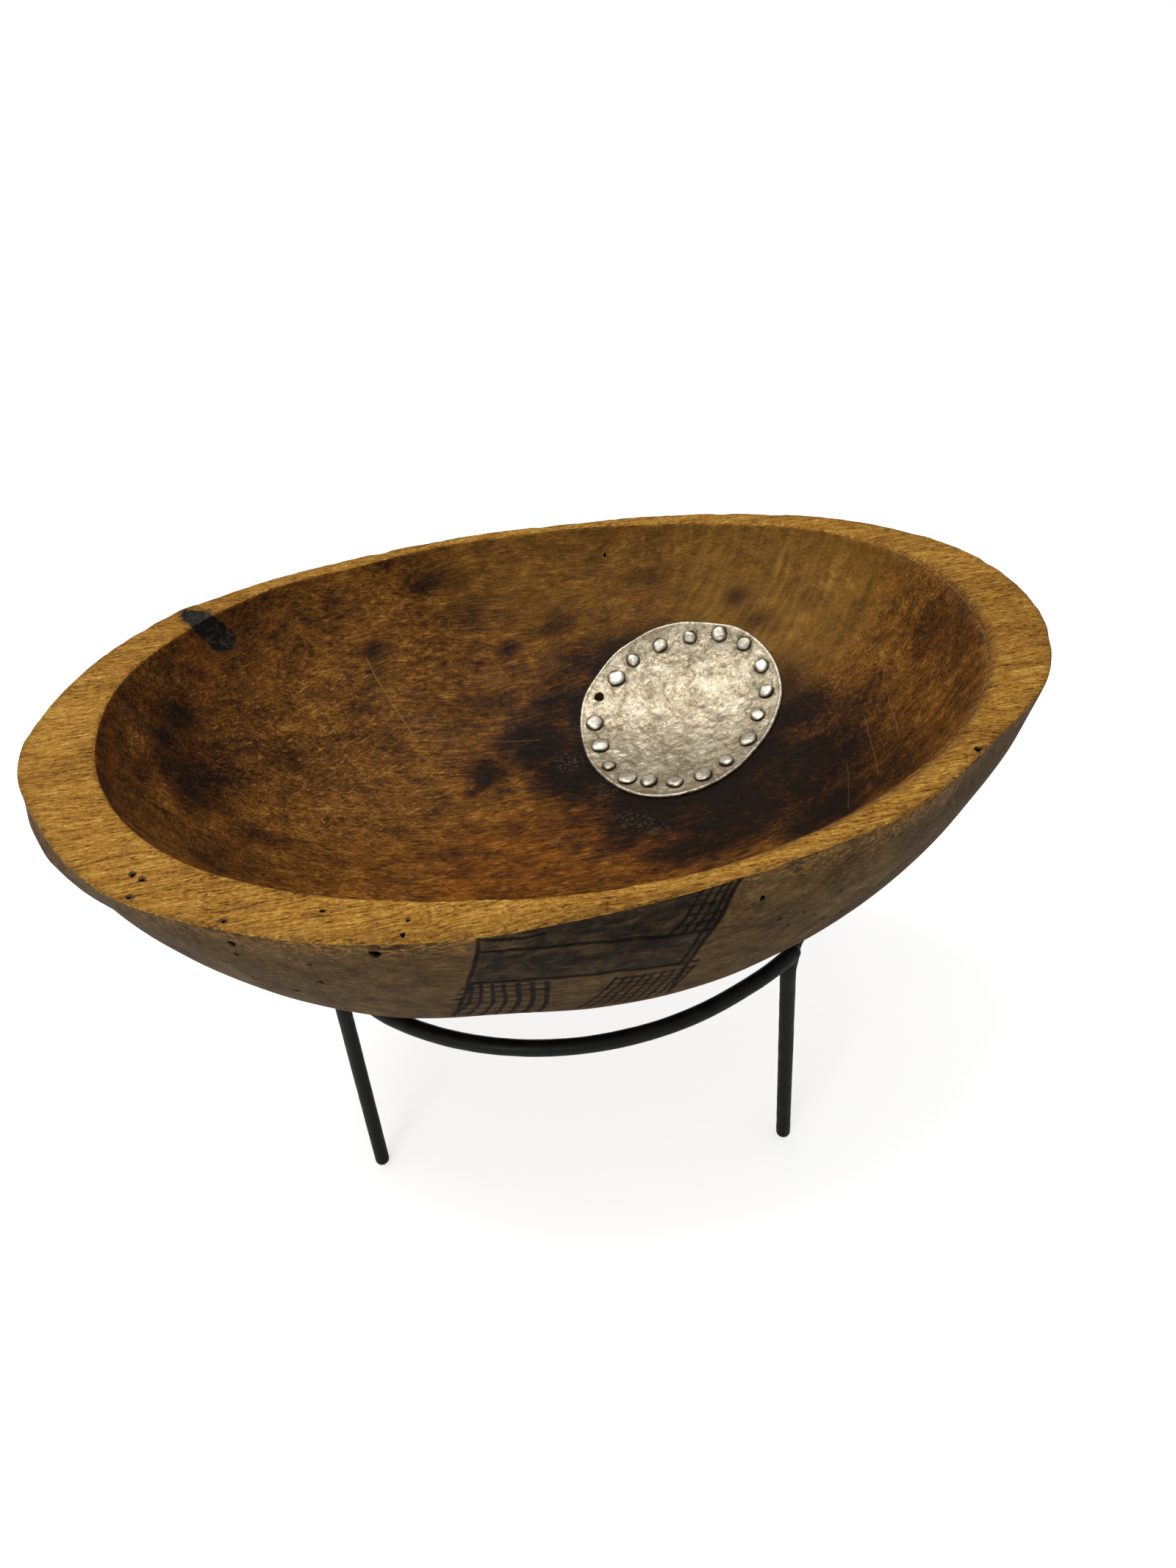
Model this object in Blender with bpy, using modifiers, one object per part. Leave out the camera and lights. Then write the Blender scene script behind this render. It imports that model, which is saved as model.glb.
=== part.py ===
"""Oval carved wooden bowl with a riveted metal repair, on a loose three-legged iron stand.

Metres, +Z up. The origin is on the floor, midway along the bowl's length and width.
+X runs along the bowl's long side, -Y is the side with the cut panel. The tables below
are measured from the middle of the mouth, and everything is moved onto the origin at the end.
Run: blender --background --factory-startup --python part.py
"""

import math

import bmesh
import bpy
import numpy as np
from mathutils import Matrix, Vector
from mathutils.bvhtree import BVHTree

MM = 0.001
GAP = 0.3  # clearance left between neighbouring pieces, mm

# ---- bowl -----------------------------------------------------------------
RIM_Z = 222.0  # height of the flat rim above the floor
DEPTH_OUT = 92.0
DEPTH_IN = 78.0
# Hand-cut outlines: radius from the middle of the mouth every 15 degrees, from +X towards +Y.
RIM_OUT = (
    202, 198, 180, 159, 143, 133, 132, 136, 145, 163, 184, 195,
    199, 187, 176, 161, 150, 142, 137, 138, 145, 159, 172, 193,
)  # fmt: skip
RIM_IN = (
    176, 176, 165, 147, 134, 128, 125, 130, 136, 153, 165, 173,
    170, 162, 151, 139, 130, 125, 126, 129, 135, 144, 157, 169,
)  # fmt: skip
OUT_POWER = (5.2, 1.15)  # steep wall, then a soft turn to a nearly flat bottom
IN_POWER = (3.2, 1.25)  # rounder hollow
FOOT_SHIFT = (7.5, -8.0)  # the outside's lowest point lies this far off the middle of the mouth
OUT_LEVELS = (1.0, 0.985, 0.965, 0.935, 0.895, 0.845, 0.78, 0.70, 0.60, 0.47, 0.32, 0.16)
IN_LEVELS = (1.0, 0.975, 0.94, 0.89, 0.82, 0.74, 0.65, 0.55, 0.44, 0.32, 0.17)
RIM_SOFT = 1.2  # rounding of the rim's two edges
AROUND = 72

# ---- repair ---------------------------------------------------------------
PATCH_AT = (66.0, 52.0)  # where the patch's axis meets the hollow, in plan
PATCH_AXIS = Vector((-0.19, -0.34, 0.92)).normalized()
PATCH_EDGE = (49.5, 52.5, 48.8, 46.8, 46.2, 47.2, 46.3, 47.0, 48.4, 46.2, 42.8, 44.0)
PATCH_THICK = 1.0
BACK_EDGE = (48.0, 49.5, 49.0, 47.0, 46.0, 46.5, 47.0, 47.5, 48.0, 47.0, 45.0, 46.0)
BACK_LIFT = 0.35  # a flat-facetted sheet round a full curve needs this much more room
BREACH = (21.0, 13.0)  # half sizes of the worn-through place that the repair covers
# Each rivet: distance from the patch's axis and turn round it, degrees.
RIVETS = (
    (45.0, 51), (46.5, 35), (45.0, 17), (41.8, 359), (37.0, 341), (36.6, 319),
    (36.8, 295), (38.3, 276), (39.6, 257), (39.8, 240), (42.0, 226), (41.4, 209),
    (39.0, 190), (39.6, 169), (37.4, 130), (38.0, 112), (38.6, 90), (40.6, 69),
)  # fmt: skip
EMPTY_HOLE = (40.2, 148)  # a hole that has lost its rivet
SHANK_R = 1.5
HEAD_R, HEAD_H = 3.1, 1.5
TAIL_R, TAIL_H = 2.6, 1.2

# ---- stand ----------------------------------------------------------------
ROD_R = 3.175  # quarter-inch round bar
RING_AT = (3.4, 8.1)
RING_R = 118.3
RING_Z = 131.7
TUCK_START = -1.8  # an arc leaves its own leg this far from the ring's circle: a little inside it
TUCK_END = 1.4  # and ends this far outside it, in front of the next leg
TUCK_SPAN = 16.0  # degrees over which either tuck fades into the circle
END_SHORT = 2.2  # degrees by which an arc stops short of the next leg
BEND_R = 6.0
JOG, JOG_RISE = 2.5, 9.0  # the leg steps sideways below its bend, past the last arc's end
# Leg: turn round the ring, and how far the foot stands out from and round past the leg's top.
LEGS = ((-150.0, 4.4, -1.8), (-47.1, -3.9, 5.5), (81.5, 1.0, 0.0))


def clear_scene():
    for obj in list(bpy.data.objects):
        bpy.data.objects.remove(obj, do_unlink=True)
    for mesh in list(bpy.data.meshes):
        bpy.data.meshes.remove(mesh)
    for collection in list(bpy.data.collections):
        bpy.data.collections.remove(collection)


clear_scene()
OBJECT = bpy.data.collections.new("carved_wooden_bowl")
CUTTERS = bpy.data.collections.new("cutters")
bpy.context.scene.collection.children.link(OBJECT)
bpy.context.scene.collection.children.link(CUTTERS)


def material(name, colour, metallic, roughness):
    mat = bpy.data.materials.new(name)
    mat.use_nodes = True
    shader = mat.node_tree.nodes["Principled BSDF"]
    shader.inputs["Base Color"].default_value = (*colour, 1.0)
    shader.inputs["Metallic"].default_value = metallic
    shader.inputs["Roughness"].default_value = roughness
    return mat


def add_object(name, mesh, mat, smooth=True, cutter=False):
    obj = bpy.data.objects.new(name, mesh)
    (CUTTERS if cutter else OBJECT).objects.link(obj)
    if cutter:
        obj.hide_render = True
        obj.display_type = "WIRE"
    else:
        mesh.materials.append(mat)
        for face in mesh.polygons:
            face.use_smooth = smooth
    return obj


def mesh_of(name, points, faces):
    mesh = bpy.data.meshes.new(name)
    mesh.from_pydata([tuple(c * MM for c in p) for p in points], [], faces)
    mesh.validate()
    bm = bmesh.new()
    bm.from_mesh(mesh)
    bmesh.ops.recalc_face_normals(bm, faces=bm.faces)
    bm.to_mesh(mesh)
    bm.free()
    return mesh


def around_table(table, phi):
    """Periodic cubic through a table of equally spaced values."""
    n = len(table)
    t = (phi % (2 * math.pi)) / (2 * math.pi) * n
    i = int(math.floor(t))
    u = t - i
    a, b, c, d = (table[(i + k) % n] for k in (-1, 0, 1, 2))
    return 0.5 * (
        2 * b + (c - a) * u + (2 * a - 5 * b + 4 * c - d) * u * u + (3 * b - a - 3 * c + d) * u**3
    )


def drop(depth, power, s):
    n, m = power
    return -depth * (1.0 - min(s, 1.0) ** n) ** (1.0 / m)


def lofted(rings, close_first, close_last):
    """Faces between rings of equal length, with a point or a fan at either end."""
    points, faces = [], []
    starts = []
    for ring in rings:
        starts.append(len(points))
        points.extend(ring)
    for a, b in zip(starts, starts[1:]):
        for k in range(AROUND):
            j = (k + 1) % AROUND
            faces.append((a + k, a + j, b + j, b + k))
    for start, centre in ((starts[0], close_first), (starts[-1], close_last)):
        points.append(centre)
        for k in range(AROUND):
            faces.append((start + k, start + (k + 1) % AROUND, len(points) - 1))
    return points, faces


def ring_at(table, s, z, inset=0.0, shift=(0.0, 0.0)):
    ring = []
    for k in range(AROUND):
        phi = 2 * math.pi * k / AROUND
        r = around_table(table, phi) * s + inset
        ring.append(
            (r * math.cos(phi) + shift[0] * (1 - s), r * math.sin(phi) + shift[1] * (1 - s), z)
        )
    return ring


def bowl_blank():
    rings = []
    for s in reversed(OUT_LEVELS):
        z = drop(DEPTH_OUT, OUT_POWER, s) if s < 1.0 else -RIM_SOFT
        rings.append(ring_at(RIM_OUT, s, RIM_Z + z, 0.0, FOOT_SHIFT))
    rings.append(ring_at(RIM_OUT, 1.0, RIM_Z, -RIM_SOFT))
    rings.append(ring_at(RIM_IN, 1.0, RIM_Z, RIM_SOFT))
    for s in IN_LEVELS:
        z = drop(DEPTH_IN, IN_POWER, s) if s < 1.0 else -RIM_SOFT
        rings.append(ring_at(RIM_IN, s, RIM_Z + z))
    return lofted(rings, (*FOOT_SHIFT, RIM_Z - DEPTH_OUT), (0, 0, RIM_Z - DEPTH_IN))


BLANK_POINTS, BLANK_FACES = bowl_blank()
BLANK = BVHTree.FromPolygons([Vector(p) for p in BLANK_POINTS], BLANK_FACES)


def cast(start, direction):
    """First point of the bowl's wood from start along direction, mm."""
    hit = BLANK.ray_cast(Vector(start), Vector(direction).normalized(), 400.0)
    return hit[0]


def inner_height(x, y):
    s = math.hypot(x, y) / around_table(RIM_IN, math.atan2(y, x))
    return RIM_Z + drop(DEPTH_IN, IN_POWER, s)


def inner_normal(x, y):
    e = 2.0
    gx = (inner_height(x + e, y) - inner_height(x - e, y)) / (2 * e)
    gy = (inner_height(x, y + e) - inner_height(x, y - e)) / (2 * e)
    return Vector((-gx, -gy, 1.0)).normalized()


# ---- repair frame ---------------------------------------------------------
PATCH_ORIGIN = Vector((*PATCH_AT, inner_height(*PATCH_AT)))
PATCH_U = (Vector((1, 0, 0)) - PATCH_AXIS * PATCH_AXIS.x).normalized()
PATCH_V = PATCH_AXIS.cross(PATCH_U)


def on_patch(r, degrees):
    """The patch's frame to a point on its plane."""
    t = math.radians(degrees)
    return PATCH_ORIGIN + PATCH_U * (r * math.cos(t)) + PATCH_V * (r * math.sin(t))


def inner_point(r, degrees):
    return cast(on_patch(r, degrees) + PATCH_AXIS * 60.0, -PATCH_AXIS)


def outer_point(r, degrees):
    return cast(on_patch(r, degrees) - PATCH_AXIS * 90.0, PATCH_AXIS)


def plate(name, edge, surface, side, gap, mat):
    """A sheet formed to one face of the bowl: rings out to its edge, thickened away from the wood."""
    spokes, rings = 48, (0.2, 0.4, 0.55, 0.7, 0.85, 1.0)
    points = [surface(0.0, 0.0)]
    for f in rings:
        for k in range(spokes):
            phi = 2 * math.pi * k / spokes
            points.append(surface(around_table(edge, phi) * f, math.degrees(phi)))
    faces = [(0, 1 + k, 1 + (k + 1) % spokes) for k in range(spokes)]
    for ring in range(len(rings) - 1):
        a, b = 1 + ring * spokes, 1 + (ring + 1) * spokes
        for k in range(spokes):
            j = (k + 1) % spokes
            faces.append((a + k, b + k, b + j, a + j))
    mesh = bpy.data.meshes.new(name)
    mesh.from_pydata([tuple(p * MM) for p in points], [], faces)
    bm = bmesh.new()
    bm.from_mesh(mesh)
    bmesh.ops.recalc_face_normals(bm, faces=bm.faces)
    away = PATCH_AXIS * side
    total = Vector((0, 0, 0))
    for face in bm.faces:
        total += face.normal
    if total.dot(away) < 0:
        bmesh.ops.reverse_faces(bm, faces=bm.faces)
    bm.normal_update()
    for vert in bm.verts:
        vert.co += vert.normal * (gap * MM)
    bm.to_mesh(mesh)
    bm.free()
    obj = add_object(name, mesh, mat)
    thick = obj.modifiers.new("thickness", "SOLIDIFY")
    thick.thickness = PATCH_THICK * MM
    thick.offset = 1.0
    return obj


# ---- materials ------------------------------------------------------------
WOOD = material("old_hardwood", (0.23, 0.14, 0.075), 0.0, 0.6)
SHEET = material("hammered_sheet", (0.52, 0.50, 0.46), 0.9, 0.45)
RIVET = material("rivet_metal", (0.60, 0.58, 0.54), 0.9, 0.4)
IRON = material("black_painted_iron", (0.02, 0.02, 0.02), 0.0, 0.45)
WELD = material("painted_weld", (0.03, 0.03, 0.028), 0.0, 0.5)


# ---- bowl body ------------------------------------------------------------
bowl = add_object("bowl_body", mesh_of("bowl_body", BLANK_POINTS, BLANK_FACES), WOOD)
patch = plate("patch_plate", PATCH_EDGE, inner_point, 1, GAP, SHEET)
back = plate("backing_plate", BACK_EDGE, outer_point, -1, GAP + BACK_LIFT, SHEET)


def turned(name, profile, axis, at, mat, steps=12):
    """A small turned piece: the profile is (radius, height) in mm, swept round its axis by a Screw."""
    mesh = bpy.data.meshes.new(name)
    points = [(r * MM, 0.0, z * MM) for r, z in profile]
    mesh.from_pydata(points, [(i, i + 1) for i in range(len(points) - 1)], [])
    obj = add_object(name, mesh, mat)
    turn = obj.modifiers.new("turn", "SCREW")
    turn.steps = turn.render_steps = steps
    turn.use_merge_vertices = True
    turn.merge_threshold = 0.00001
    turn.use_normal_calculate = True
    turn.use_normal_flip = True
    turn.use_smooth_shade = True
    obj.matrix_world = Matrix.Translation(Vector(at) * MM) @ axis.to_track_quat("Z", "X").to_matrix().to_4x4()
    return obj


def drill(points_and_axes):
    """One cutter mesh holding a separate round drill for every hole."""
    bm = bmesh.new()
    for at, axis in points_and_axes:
        place = (
            Matrix.Translation((Vector(at) - axis * 22.0) * MM)
            @ axis.to_track_quat("Z", "X").to_matrix().to_4x4()
        )
        bmesh.ops.create_cone(
            bm,
            cap_ends=True,
            segments=12,
            radius1=(SHANK_R + GAP) * MM,
            radius2=(SHANK_R + GAP) * MM,
            depth=64.0 * MM,
            matrix=place,
        )
    mesh = bpy.data.meshes.new("rivet_drills")
    bm.to_mesh(mesh)
    bm.free()
    return add_object("rivet_drills", mesh, None, cutter=True)


holes = []
for r, turn_deg in (*RIVETS, EMPTY_HOLE):
    at = inner_point(r, turn_deg)
    holes.append((at, inner_normal(at.x, at.y)))
drills = drill(holes)

for target in (bowl, patch, back):
    cut = target.modifiers.new("rivet_holes", "BOOLEAN")
    cut.operation = "DIFFERENCE"
    cut.solver = "EXACT"
    cut.object = drills

bm = bmesh.new()
bmesh.ops.create_cone(
    bm,
    cap_ends=True,
    segments=20,
    radius1=MM,
    radius2=MM,
    depth=80.0 * MM,
    matrix=Matrix.Translation(PATCH_ORIGIN * MM)
    @ PATCH_AXIS.to_track_quat("Z", "X").to_matrix().to_4x4()
    @ Matrix.Rotation(0.5, 4, "Z")
    @ Matrix.Diagonal((BREACH[0], BREACH[1], 1.0, 1.0)),
)
breach_mesh = bpy.data.meshes.new("breach_cutter")
bm.to_mesh(breach_mesh)
bm.free()
breach = add_object("breach_cutter", breach_mesh, None, cutter=True)
cut = bowl.modifiers.new("breach", "BOOLEAN")
cut.operation = "DIFFERENCE"
cut.solver = "EXACT"
cut.object = breach

# ---- rivets: domed head in the hollow, shank through all three layers, spread tail outside ----
for number, (at, axis) in enumerate(holes[:-1], start=1):
    side = axis.orthogonal().normalized()
    far = []
    for k in range(8):
        out = Matrix.Rotation(math.pi * k / 4, 4, axis) @ side
        hit = cast(at + out * TAIL_R - axis * 120.0, axis)
        far.append((at - hit).dot(axis))
    tail = -(max(far) + GAP + BACK_LIFT + PATCH_THICK * 1.12 + GAP)
    head = GAP + PATCH_THICK + GAP + 0.1
    profile = (
        (0.0, tail - TAIL_H),
        (TAIL_R * 0.62, tail - TAIL_H * 0.82),
        (TAIL_R, tail - TAIL_H * 0.3),
        (TAIL_R, tail),
        (SHANK_R, tail),
        (SHANK_R, head),
        (HEAD_R, head),
        (HEAD_R * 0.97, head + HEAD_H * 0.4),
        (HEAD_R * 0.62, head + HEAD_H * 0.88),
        (0.0, head + HEAD_H),
    )
    turned(f"rivet_{number:02d}", profile, axis, at, RIVET, 10)

# ---- stand: three bars, each a leg bent over into its share of the ring ----
RING_CENTRE = Vector((*RING_AT, 0.0))


def ring_point(degrees, r, z=RING_Z):
    t = math.radians(degrees)
    return RING_CENTRE + Vector((r * math.cos(t), r * math.sin(t), z))


def smooth(t):
    t = min(max(t, 0.0), 1.0)
    return t * t * (3 - 2 * t)


def bar_path(leg, next_leg):
    """Centre line from below the floor, up the leg, out and over the bend and along the arc."""
    angle, stand_out, stand_round = leg
    span = (next_leg[0] - angle) % 360.0
    t = math.radians(angle)
    out, along = Vector((math.cos(t), math.sin(t), 0)), Vector((-math.sin(t), math.cos(t), 0))
    r0 = RING_R + TUCK_START
    top = ring_point(angle, r0, RING_Z - BEND_R)
    low = top - along * JOG - Vector((0, 0, JOG_RISE))
    foot = low + out * stand_out + along * stand_round
    foot.z = 0.0
    below = foot + (foot - low).normalized() * 5.0
    path = [below, foot.lerp(low, 0.5)]
    for k in range(6):
        f = k / 5
        path.append(low + Vector((0, 0, JOG_RISE * f)) + along * (JOG * smooth(f)))
    for k in range(1, 7):
        b = math.radians(90.0 * k / 6)
        path.append(
            top + Vector((0, 0, BEND_R * math.sin(b))) + along * (BEND_R * (1 - math.cos(b)))
        )
    lead = math.degrees(BEND_R / r0)
    end = span - END_SHORT
    steps = 24
    for k in range(1, steps + 1):
        a = lead + (end - lead) * k / steps
        r = RING_R + TUCK_START * (1 - smooth((a - lead) / TUCK_SPAN))
        r += TUCK_END * (1 - smooth((end - a) / TUCK_SPAN))
        path.append(ring_point(angle + a, r))
    return path


def rod(name, path, radius, mat, round_end=True):
    curve = bpy.data.curves.new(name, "CURVE")
    curve.dimensions = "3D"
    curve.bevel_depth = radius * MM
    curve.bevel_resolution = 4
    curve.use_fill_caps = True
    points = list(path)
    radii = [1.0] * len(points)
    if round_end:
        tip = (points[-1] - points[-2]).normalized()
        for along, share in ((0.45, 0.9), (0.8, 0.6), (0.95, 0.3)):
            points.append(path[-1] + tip * radius * along)
            radii.append(share)
    spline = curve.splines.new("POLY")
    spline.points.add(len(points) - 1)
    for point, place, share in zip(spline.points, points, radii):
        point.co = (*(place * MM), 1.0)
        point.radius = share
    made = bpy.data.objects.new(name + "_curve", curve)
    CUTTERS.objects.link(made)
    bpy.context.view_layer.update()
    mesh = bpy.data.meshes.new_from_object(
        made.evaluated_get(bpy.context.evaluated_depsgraph_get())
    )
    mesh.name = name
    bpy.data.objects.remove(made, do_unlink=True)
    bm = bmesh.new()
    bm.from_mesh(mesh)
    bmesh.ops.remove_doubles(bm, verts=bm.verts, dist=1e-6)
    bmesh.ops.recalc_face_normals(bm, faces=bm.faces)
    bm.to_mesh(mesh)
    bm.free()
    return mesh


floor_mesh = bpy.data.meshes.new("floor_cutter")
bm = bmesh.new()
bmesh.ops.create_cube(bm, size=1.0, matrix=Matrix.Translation((0, 0, -0.02)) @ Matrix.Diagonal((0.5, 0.5, 0.04, 1.0)))
bm.to_mesh(floor_mesh)
bm.free()
floor_cutter = add_object("floor_cutter", floor_mesh, None, cutter=True)

bars = []
paths = []
for k, leg in enumerate(LEGS):
    path = bar_path(leg, LEGS[(k + 1) % 3])
    paths.append(path)
    bar = add_object(f"stand_bar_{k + 1}", rod(f"stand_bar_{k + 1}", path, ROD_R, IRON), IRON)
    trim = bar.modifiers.new("flat_foot", "BOOLEAN")
    trim.operation = "DIFFERENCE"
    trim.solver = "EXACT"
    trim.object = floor_cutter
    bars.append(bar)

# ---- welds: a bead under each arc's end, in the corner it makes with the next leg ----
for k in range(3):
    leg = LEGS[(k + 1) % 3]
    t = math.radians(leg[0])
    along = Vector((-math.sin(t), math.cos(t), 0))
    at = ring_point(leg[0] - 2.6, RING_R + 0.4, RING_Z - 3.8)
    bm = bmesh.new()
    bmesh.ops.create_uvsphere(
        bm,
        u_segments=12,
        v_segments=8,
        radius=MM,
        matrix=Matrix.Translation(at * MM)
        @ along.to_track_quat("X", "Z").to_matrix().to_4x4()
        @ Matrix.Diagonal((4.2, 3.0, 2.6, 1.0)),
    )
    mesh = bpy.data.meshes.new(f"weld_{k + 1}")
    bm.to_mesh(mesh)
    bm.free()
    bead = add_object(f"weld_{k + 1}", mesh, WELD)
    for which in (k, (k + 1) % 3):
        relief = add_object(
            f"weld_{k + 1}_relief_{which + 1}",
            rod(f"weld_{k + 1}_relief_{which + 1}", paths[which], ROD_R + GAP, IRON),
            None,
            cutter=True,
        )
        cut = bead.modifiers.new("fit", "BOOLEAN")
        cut.operation = "DIFFERENCE"
        cut.solver = "EXACT"
        cut.object = relief

# ---- put the origin midway along the bowl's length and width, on the floor ----
RIM = ring_at(RIM_OUT, 1.0, RIM_Z)
MIDDLE = Vector(
    (
        (max(p[0] for p in RIM) + min(p[0] for p in RIM)) / 2,
        (max(p[1] for p in RIM) + min(p[1] for p in RIM)) / 2,
        0.0,
    )
)
for obj in [*OBJECT.objects, *CUTTERS.objects]:
    obj.location -= MIDDLE * MM
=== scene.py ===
"""Visual model of the oval carved bowl with its riveted repair, on the loose three-legged stand.

Shapes are built here in millimetres in the frame whose origin is the middle of the mouth, then
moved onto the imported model's origin (MIDDLE). +X runs along the bowl, -Y is the near side.
"""

import math

import bmesh
import bpy
import numpy as np
from mathutils import Matrix, Vector


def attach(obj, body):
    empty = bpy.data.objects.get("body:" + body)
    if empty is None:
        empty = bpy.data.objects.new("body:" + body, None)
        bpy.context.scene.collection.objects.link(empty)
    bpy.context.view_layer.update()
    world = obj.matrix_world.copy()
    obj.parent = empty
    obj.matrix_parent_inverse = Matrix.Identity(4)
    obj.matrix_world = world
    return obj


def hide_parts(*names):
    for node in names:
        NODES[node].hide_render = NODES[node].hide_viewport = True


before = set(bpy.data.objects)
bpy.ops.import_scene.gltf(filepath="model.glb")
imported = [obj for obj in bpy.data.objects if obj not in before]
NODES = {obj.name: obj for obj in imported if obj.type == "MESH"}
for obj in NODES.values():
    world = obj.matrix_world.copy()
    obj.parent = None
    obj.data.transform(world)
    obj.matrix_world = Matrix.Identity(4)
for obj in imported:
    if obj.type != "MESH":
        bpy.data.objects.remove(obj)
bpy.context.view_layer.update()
MM = 0.001
MIDDLE = np.array((1.5, -2.7456, 0.0))


# ---- smooth value noise, the same on every run ------------------------------
def lattice(i, j, k, seed):
    n = (i * 73856093) ^ (j * 19349663) ^ (k * 83492791) ^ (seed * 26544357 + 12345)
    n = n & 0xFFFFFFFF
    n = ((n ^ (n >> 15)) * 2246822519) & 0xFFFFFFFF
    n = ((n ^ (n >> 13)) * 3266489917) & 0xFFFFFFFF
    n = n ^ (n >> 16)
    return (n & 0xFFFF) / 32767.5 - 1.0


def lumps(p, size, seed=0):
    """Noise from -1 to 1 at points p (N, 3), one lump per size (a number or three numbers, mm)."""
    q = p / np.asarray(size, float)
    i = np.floor(q).astype(np.int64)
    f = q - i
    f = f * f * (3 - 2 * f)
    total = np.zeros(len(p))
    for dx in (0, 1):
        for dy in (0, 1):
            for dz in (0, 1):
                w = (
                    (f[:, 0] if dx else 1 - f[:, 0])
                    * (f[:, 1] if dy else 1 - f[:, 1])
                    * (f[:, 2] if dz else 1 - f[:, 2])
                )
                total += w * lattice(i[:, 0] + dx, i[:, 1] + dy, i[:, 2] + dz, seed)
    return total


def fractal(p, size, octaves=3, seed=0):
    total, weight, part = np.zeros(len(p)), 0.0, 1.0
    size = np.asarray(size, float)
    for k in range(octaves):
        total += part * lumps(p, size / 2**k, seed + 17 * k)
        weight += part
        part *= 0.5
    return total / weight


def ramp(x, a, b):
    t = np.clip((x - a) / (b - a), 0.0, 1.0)
    return t * t * (3 - 2 * t)


def spot(x, y, cx, cy, rx, ry, turn=0.0, soft=0.35):
    """1 inside an ellipse in plan, falling to 0 over its soft share."""
    c, s = math.cos(math.radians(turn)), math.sin(math.radians(turn))
    u, v = (x - cx) * c + (y - cy) * s, -(x - cx) * s + (y - cy) * c
    d = np.sqrt((u / rx) ** 2 + (v / ry) ** 2)
    return 1 - ramp(d, 1 - soft, 1 + soft)


def segment_distance(px, py, ax, ay, bx, by):
    dx, dy = bx - ax, by - ay
    t = np.clip(((px - ax) * dx + (py - ay) * dy) / (dx * dx + dy * dy), 0, 1)
    return np.hypot(px - ax - t * dx, py - ay - t * dy), t


# ---- bowl shape ------------------------------------------------------------
RIM_Z = 222.0
DEPTH_OUT, DEPTH_IN = 92.0, 78.0
RIM_OUT = (
    202, 198, 180, 159, 143, 133, 132, 136, 145, 163, 184, 195,
    199, 187, 176, 161, 150, 142, 137, 138, 145, 159, 172, 193,
)  # fmt: skip
RIM_IN = (
    176, 176, 165, 147, 134, 128, 125, 130, 136, 153, 165, 173,
    170, 162, 151, 139, 130, 125, 126, 129, 135, 144, 157, 169,
)  # fmt: skip
OUT_POWER = (5.2, 1.15)
IN_POWER = (3.2, 1.25)
FOOT_SHIFT = (7.5, -8.0)


def table_at(table, phi):
    """Periodic cubic through a table of equally spaced values."""
    t = np.asarray(table, float)
    n = len(t)
    u = (phi % (2 * np.pi)) / (2 * np.pi) * n
    i = np.floor(u).astype(int)
    u = u - i
    a, b, c, d = (t[(i + k) % n] for k in (-1, 0, 1, 2))
    return 0.5 * (
        2 * b + (c - a) * u + (2 * a - 5 * b + 4 * c - d) * u * u + (3 * b - a - 3 * c + d) * u**3
    )


def fall(depth, n, m, s):
    return -depth * (1.0 - np.minimum(s, 1.0) ** n) ** (1.0 / m)


def outline_out(phi):
    return table_at(RIM_OUT, phi)


def outline_in(phi):
    return table_at(RIM_IN, phi)


def levels(depth, n, m, radius, steps):
    """Shares s of the outline at which the wall's length from the rim takes the given steps, mm."""
    s = 1 - np.linspace(0, 1, 6001) ** 1.8
    z = fall(depth, n, m, s)
    along = np.concatenate([[0], np.cumsum(np.hypot(np.diff(s * radius), np.diff(z)))])
    steps = [a for a in steps if a < along[-1] - 2.0]
    return np.interp(steps, along, s)


def spaced(*runs):
    """Cumulative distances: each run is (end, step)."""
    out, at = [], 0.0
    for end, step in runs:
        while at + step <= end + 1e-9:
            at += step
            out.append(at)
    return out


NEAR = (math.radians(-121), math.radians(-52))  # the cut panel's share of the way round


def angles():
    """Column directions: close together across the cut panel, wider elsewhere."""
    phi, out = NEAR[0], []
    while phi < NEAR[0] + 2 * math.pi - 1e-6:
        out.append(phi)
        local = 0.6 if phi < NEAR[1] else 2.9
        r = float(outline_out(np.array([phi]))[0])
        phi += local / r
    out = np.array(out)
    # close the loop evenly
    span = NEAR[0] + 2 * math.pi
    last = out[-1]
    if span - last < 0.004:
        out = out[:-1]
    return out


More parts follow.
